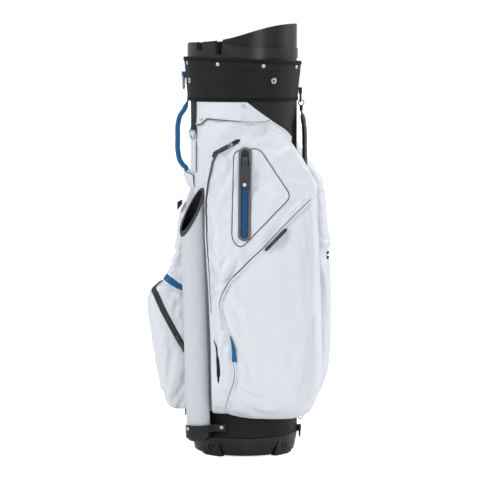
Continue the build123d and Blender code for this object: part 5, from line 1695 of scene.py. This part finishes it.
class GOLFBAG_OT_handles(BagOperator):
    """Makes the carry handle and its sewn patch, the hood strap and the umbrella tube's rim"""

    bl_idname = "golfbag.handles"
    bl_label = "Handle, hood strap and tube rim"

    def make(self, sizes, look):
        line = spline(
            [
                (-115, 0, 724), (-119, 0, 713), (-124, 0, 702), (-132, 0, 690), (-136.8, 0, 673), (-137.6, 0, 645),
                (-137.2, 0, 616), (-133, 0, 597), (-126, 0, 587), (-119.5, 0, 581), (-116, 0, 575)
            ],
            160
        )
        z = line[:, 2]
        plump = smoothstep((z - 573) / 12) * smoothstep((720 - z) / 14)
        width, thick = 19 + 6.5 * plump, 2.8 + 6.6 * plump
        profile = oval(1, 1, 24, power=2.8)[None] * np.stack([width, thick], -1)[:, None]
        up = np.cross(np.gradient(line, axis=0), [0, 1.0, 0])
        new_piece(
            "carry_handle_grip", [(closed_ends(carry(line, up, profile)), False, True)], look["blue grip"],
            replaces=("handle_grip", "handle_webbing")
        )
        # the sewn patch: a low wedge that fades out to both sides round the body
        a = np.linspace(-28, 28, 90)
        fade = smoothstep((28 - np.abs(a)) / 14)[None]
        shape = np.array(
            [(109.6, 579), (118, 578.4), (124.0, 577), (124.6, 573), (123, 563), (117.5, 550), (112, 543), (109.6, 540)]
        )
        shape = spline(shape, 40)
        r = 109.6 + (shape[:, :1] - 109.6) * (0.25 + 0.75 * fade)
        zz = 575 + (shape[:, 1:] - 575) * (0.75 + 0.25 * fade) - 0.010 * a[None] ** 2
        t = np.radians(180 + a)[None]
        patch = np.stack([r * np.cos(t), r * np.sin(t), zz], -1)
        new_piece(
            "handle_patch_cloth", [(patch[::-1], False, False)], look["coated cloth"], replaces=("handle_patch",),
        )
        ridge = patch[8]
        out = ridge * [1, 1, 0]
        thin = 2.0 + 3.4 * np.exp(-((a / 11) ** 4))
        beads = oval(1, 1, 10)[None] * thin[:, None, None]
        new_piece(
            "handle_patch_piping", [(closed_ends(carry(ridge, out, beads)), False, True)], look["blue cloth"],
        )
        # hood strap: black webbing above its ring, white webbing below
        angle = radians(208.5)
        out = np.array([cos(angle), sin(angle), 0])
        for name, low, high, finish, node in (
            ("hood_strap_webbing", 660, 722, "black webbing", "hood_strap"),
            ("hood_lower_webbing", 577, 662, "white webbing", "hood_webbing")
        ):
            z = np.linspace(low, high, 60)
            bulge = 3.2 + 1.8 * np.exp(-(((z - 661) / 5) ** 2))
            path = out * (BODY_RADIUS + bulge[:, None]) + z[:, None] * [0, 0, 1]
            new_piece(
                name,
                [(closed_ends(carry(path, np.broadcast_to(out, path.shape), oval(23, 1.9, 16, power=6))), False, True)],
                look[finish], replaces=(node,)
            )
        self.rim(look)

    def rim(self, look):
        """The umbrella tube's mouth binding: a bead carried round the slanting cut, with a band below it."""
        axis = (TUBE_HEAD - TUBE_FOOT) / np.linalg.norm(TUBE_HEAD - TUBE_FOOT)
        x = np.array([1, 0, -axis[0] / axis[2]])
        x /= np.linalg.norm(x)
        y = np.cross(axis, x)
        a = np.linspace(0, 2 * pi, 160, endpoint=False)
        out = np.cos(a)[:, None] * x + np.sin(a)[:, None] * y
        cut = np.array([-1.635, -0.95, 1.0])
        t = -(out * TUBE_RADIUS) @ cut / (axis @ cut)
        path = TUBE_HEAD + out * (TUBE_RADIUS - 0.5) + t[:, None] * axis
        shape = np.array(
            [
                (-1.5, 2.7), (0.5, 2.2), (1.5, 0.8), (1.4, -0.9), (0.4, -2.0), (-1.4, -2.1), (-9.2, -1.7), (-9.6, 0.8),
                (-9.0, 1.8), (-6.5, 2.5)
            ]
        )
        ring = path[:, None] + shape[None, :, :1] * axis + shape[None, :, 1:] * out[:, None]
        new_piece(
            "umbrella_tube_rim", [(ring, True, True)], look["rubber"], replaces=("tube_rim",)
        )
        depth = np.concatenate([[-0.5], np.linspace(-3, -440, 30), np.linspace(-440, -3, 30), [-0.5]])
        wide = np.concatenate([np.full(31, -1.7), np.full(31, -2.0)])
        lining = path[None] + depth[:, None, None] * axis + wide[:, None, None] * out
        low = TUBE_FOOT + 14 * axis
        under = np.minimum((lining - low) @ axis, 0)
        lining = lining - under[..., None] * axis
        new_piece("umbrella_tube_lining", [(lining, True, True)], look["binding"])


class GOLFBAG_OT_shoulder_strap(BagOperator):
    """Makes the shoulder strap's webbing and its padded length"""

    bl_idname = "golfbag.shoulder_strap"
    bl_label = "Shoulder strap"

    def make(self, sizes, look):
        thick = sizes.strap_padding / MM
        line = spline(
            [
                (116.4, 0, 700.6), (119, 0, 690), (124, 0, 600), (124.5, 0, 430), (122, 0, 250), (117.5, 0, 130),
                (116.4, 0, 84.6)
            ],
            320
        )
        up = np.broadcast_to([1.0, 0, 0], line.shape)
        web = carry(line, up, oval(30, 2.3, 18, power=6))
        new_piece(
            "strap_webbing_cloth", [(closed_ends(web), False, True)], look["black webbing"], body="shoulder_strap",
            replaces=("strap_webbing",)
        )
        mid = resample(line[(line[:, 2] > 338) & (line[:, 2] < 694)], 200)
        share = np.linspace(0, 1, 200)
        ends = np.sqrt(np.clip(1 - np.clip((np.abs(share - 0.5) * 2 - 0.93) / 0.07, 0, 1) ** 2, 0.02, 1))
        quilt = 1 - 0.16 * np.exp(-(((share * 8) % 1 - 0.5) / 0.06) ** 2)
        profile = oval(1, 1, 28, power=3.2)[None] * np.stack(
            [50 * (0.55 + 0.45 * ends), thick * quilt * (0.45 + 0.55 * ends)], -1
        )[:, None]
        pad = new_piece(
            "strap_pad_cloth",
            [(closed_ends(carry(mid, np.broadcast_to([1.0, 0, 0], mid.shape), profile)), False, True)],
            look["pad mesh"], body="shoulder_strap", replaces=("strap_pad",)
        )
        edges = []
        for side in (-1, 1):
            path = mid[6:-6] + side * np.array([0, 1, 0]) * (25.2 * (0.55 + 0.45 * ends))[6:-6, None]
            edges.append(
                (closed_ends(carry(path, np.broadcast_to([1.0, 0, 0], path.shape), oval(2.6, 3.2, 8))), False, True)
            )
        new_piece("strap_pad_binding", edges, look["binding"], body="shoulder_strap")


class GOLFBAG_OT_stage(bpy.types.Operator):
    """Makes the pale floor, the soft studio lights and the camera"""

    bl_idname = "golfbag.stage"
    bl_label = "Stage"
    bl_options = {"REGISTER", "UNDO"}

    def execute(self, context):
        scene = context.scene
        mesh = bpy.data.meshes.new("studio_floor")
        wide = 40.0
        corners = [(-wide, -wide, 0), (wide, -wide, 0), (wide, wide, 0), (-wide, wide, 0)]
        mesh.from_pydata(corners, [], [(0, 1, 2, 3)])
        floor = bpy.data.objects.new("studio_floor", mesh)
        scene.collection.objects.link(floor)
        paint = bpy.data.materials.new("studio paint")
        tree, shader = nodes_of(paint)
        shader.inputs["Base Color"].default_value = (0.92, 0.92, 0.925, 1)
        shader.inputs["Roughness"].default_value = 0.9
        shader.inputs["Emission Color"].default_value = (1, 1, 1, 1)
        seen = tree.nodes.new("ShaderNodeLightPath")
        glow = tree.nodes.new("ShaderNodeMapRange")
        glow.inputs["To Min"].default_value, glow.inputs["To Max"].default_value = 0.0, 0.75
        tree.links.new(seen.outputs["Is Camera Ray"], glow.inputs["Value"])
        tree.links.new(glow.outputs["Result"], shader.inputs["Emission Strength"])
        mesh.materials.append(paint)
        world = bpy.data.worlds.new("studio") if scene.world is None else scene.world
        scene.world = world
        world.use_nodes = True
        tree = world.node_tree
        back = next(n for n in tree.nodes if n.type == "BACKGROUND")
        back.inputs["Color"].default_value = (0.955, 0.975, 1.0, 1)
        path = tree.nodes.new("ShaderNodeLightPath")
        level = tree.nodes.new("ShaderNodeMapRange")
        level.inputs["To Min"].default_value, level.inputs["To Max"].default_value = 0.54, 1.05
        tree.links.new(path.outputs["Is Camera Ray"], level.inputs["Value"])
        tree.links.new(level.outputs["Result"], back.inputs["Strength"])
        scene.view_settings.view_transform = "Standard"
        lights = (
            ("key_light", (-3.0, -2.1, 2.5), 0.8, 62.0),
            ("fill_light", (2.6, -3.2, 1.5), 1.6, 26.0),
            ("top_light", (0.3, 0.2, 3.2), 1.2, 24.0),
            ("rear_light", (3.0, 1.5, 1.8), 1.3, 40.0),
        )
        for name, place, size, power in lights:
            data = bpy.data.lights.new(name, "AREA")
            data.shape, data.size, data.energy = "DISK", size, power
            lamp = bpy.data.objects.new(name, data)
            lamp.location = place
            lamp.rotation_euler = (Vector((0, 0, 0.45)) - Vector(place)).to_track_quat("-Z", "Y").to_euler()
            scene.collection.objects.link(lamp)
        data = bpy.data.cameras.new("studio_camera")
        data.lens, data.sensor_width = scene.golf_bag_sizes.lens, 36.0
        camera = bpy.data.objects.new("studio_camera", data)
        turn, dip = radians(5.0), radians(5.4)
        camera.location = (4.1 * sin(turn) + 0.0075, -4.1 * cos(turn), 0.83)
        ahead = Vector((-sin(turn) * cos(dip), cos(turn) * cos(dip), -sin(dip)))
        right = Vector((cos(turn), sin(turn), 0))
        above = right.cross(ahead)
        aim = ahead - 0.0040 * right - 0.00215 * above
        camera.rotation_euler = aim.to_track_quat("-Z", "Y").to_euler()
        scene.collection.objects.link(camera)
        scene.camera = camera
        return {"FINISHED"}


class GOLFBAG_PT_panel(bpy.types.Panel):
    """Lists the bag's sizes, colours and building steps"""

    bl_idname = "GOLFBAG_PT_panel"
    bl_label = "Golf Bag"
    bl_space_type = "VIEW_3D"
    bl_region_type = "UI"
    bl_category = "Golf Bag"

    def draw(self, context):
        for settings in (context.scene.golf_bag_sizes, context.scene.golf_bag_colours):
            box = self.layout.box()
            for key in settings.__annotations__:
                box.prop(settings, key)
        for step in STEPS:
            self.layout.operator(step.bl_idname)


STEPS = (
    GOLFBAG_OT_stage,
    GOLFBAG_OT_finishes,
    GOLFBAG_OT_body,
    GOLFBAG_OT_side_pockets,
    GOLFBAG_OT_valuables,
    GOLFBAG_OT_front,
    GOLFBAG_OT_zips,
    GOLFBAG_OT_collar,
    GOLFBAG_OT_foot,
    GOLFBAG_OT_handles,
    GOLFBAG_OT_shoulder_strap,
)
CLASSES = (GolfBagSizes, GolfBagColours, *STEPS, GOLFBAG_PT_panel)


def register():
    """Registers the classes and hangs the settings on the scene."""
    for one in CLASSES:
        bpy.utils.register_class(one)
    bpy.types.Scene.golf_bag_sizes = bpy.props.PointerProperty(type=GolfBagSizes)
    bpy.types.Scene.golf_bag_colours = bpy.props.PointerProperty(type=GolfBagColours)


def unregister():
    """Takes the settings and the classes away again."""
    del bpy.types.Scene.golf_bag_sizes
    del bpy.types.Scene.golf_bag_colours
    for one in reversed(CLASSES):
        bpy.utils.unregister_class(one)


def main():
    """Builds the stage and every piece in order."""
    register()
    for step in STEPS:
        space, name = step.bl_idname.split(".")
        getattr(getattr(bpy.ops, space), name)()


if __name__ == "__main__":
    main()
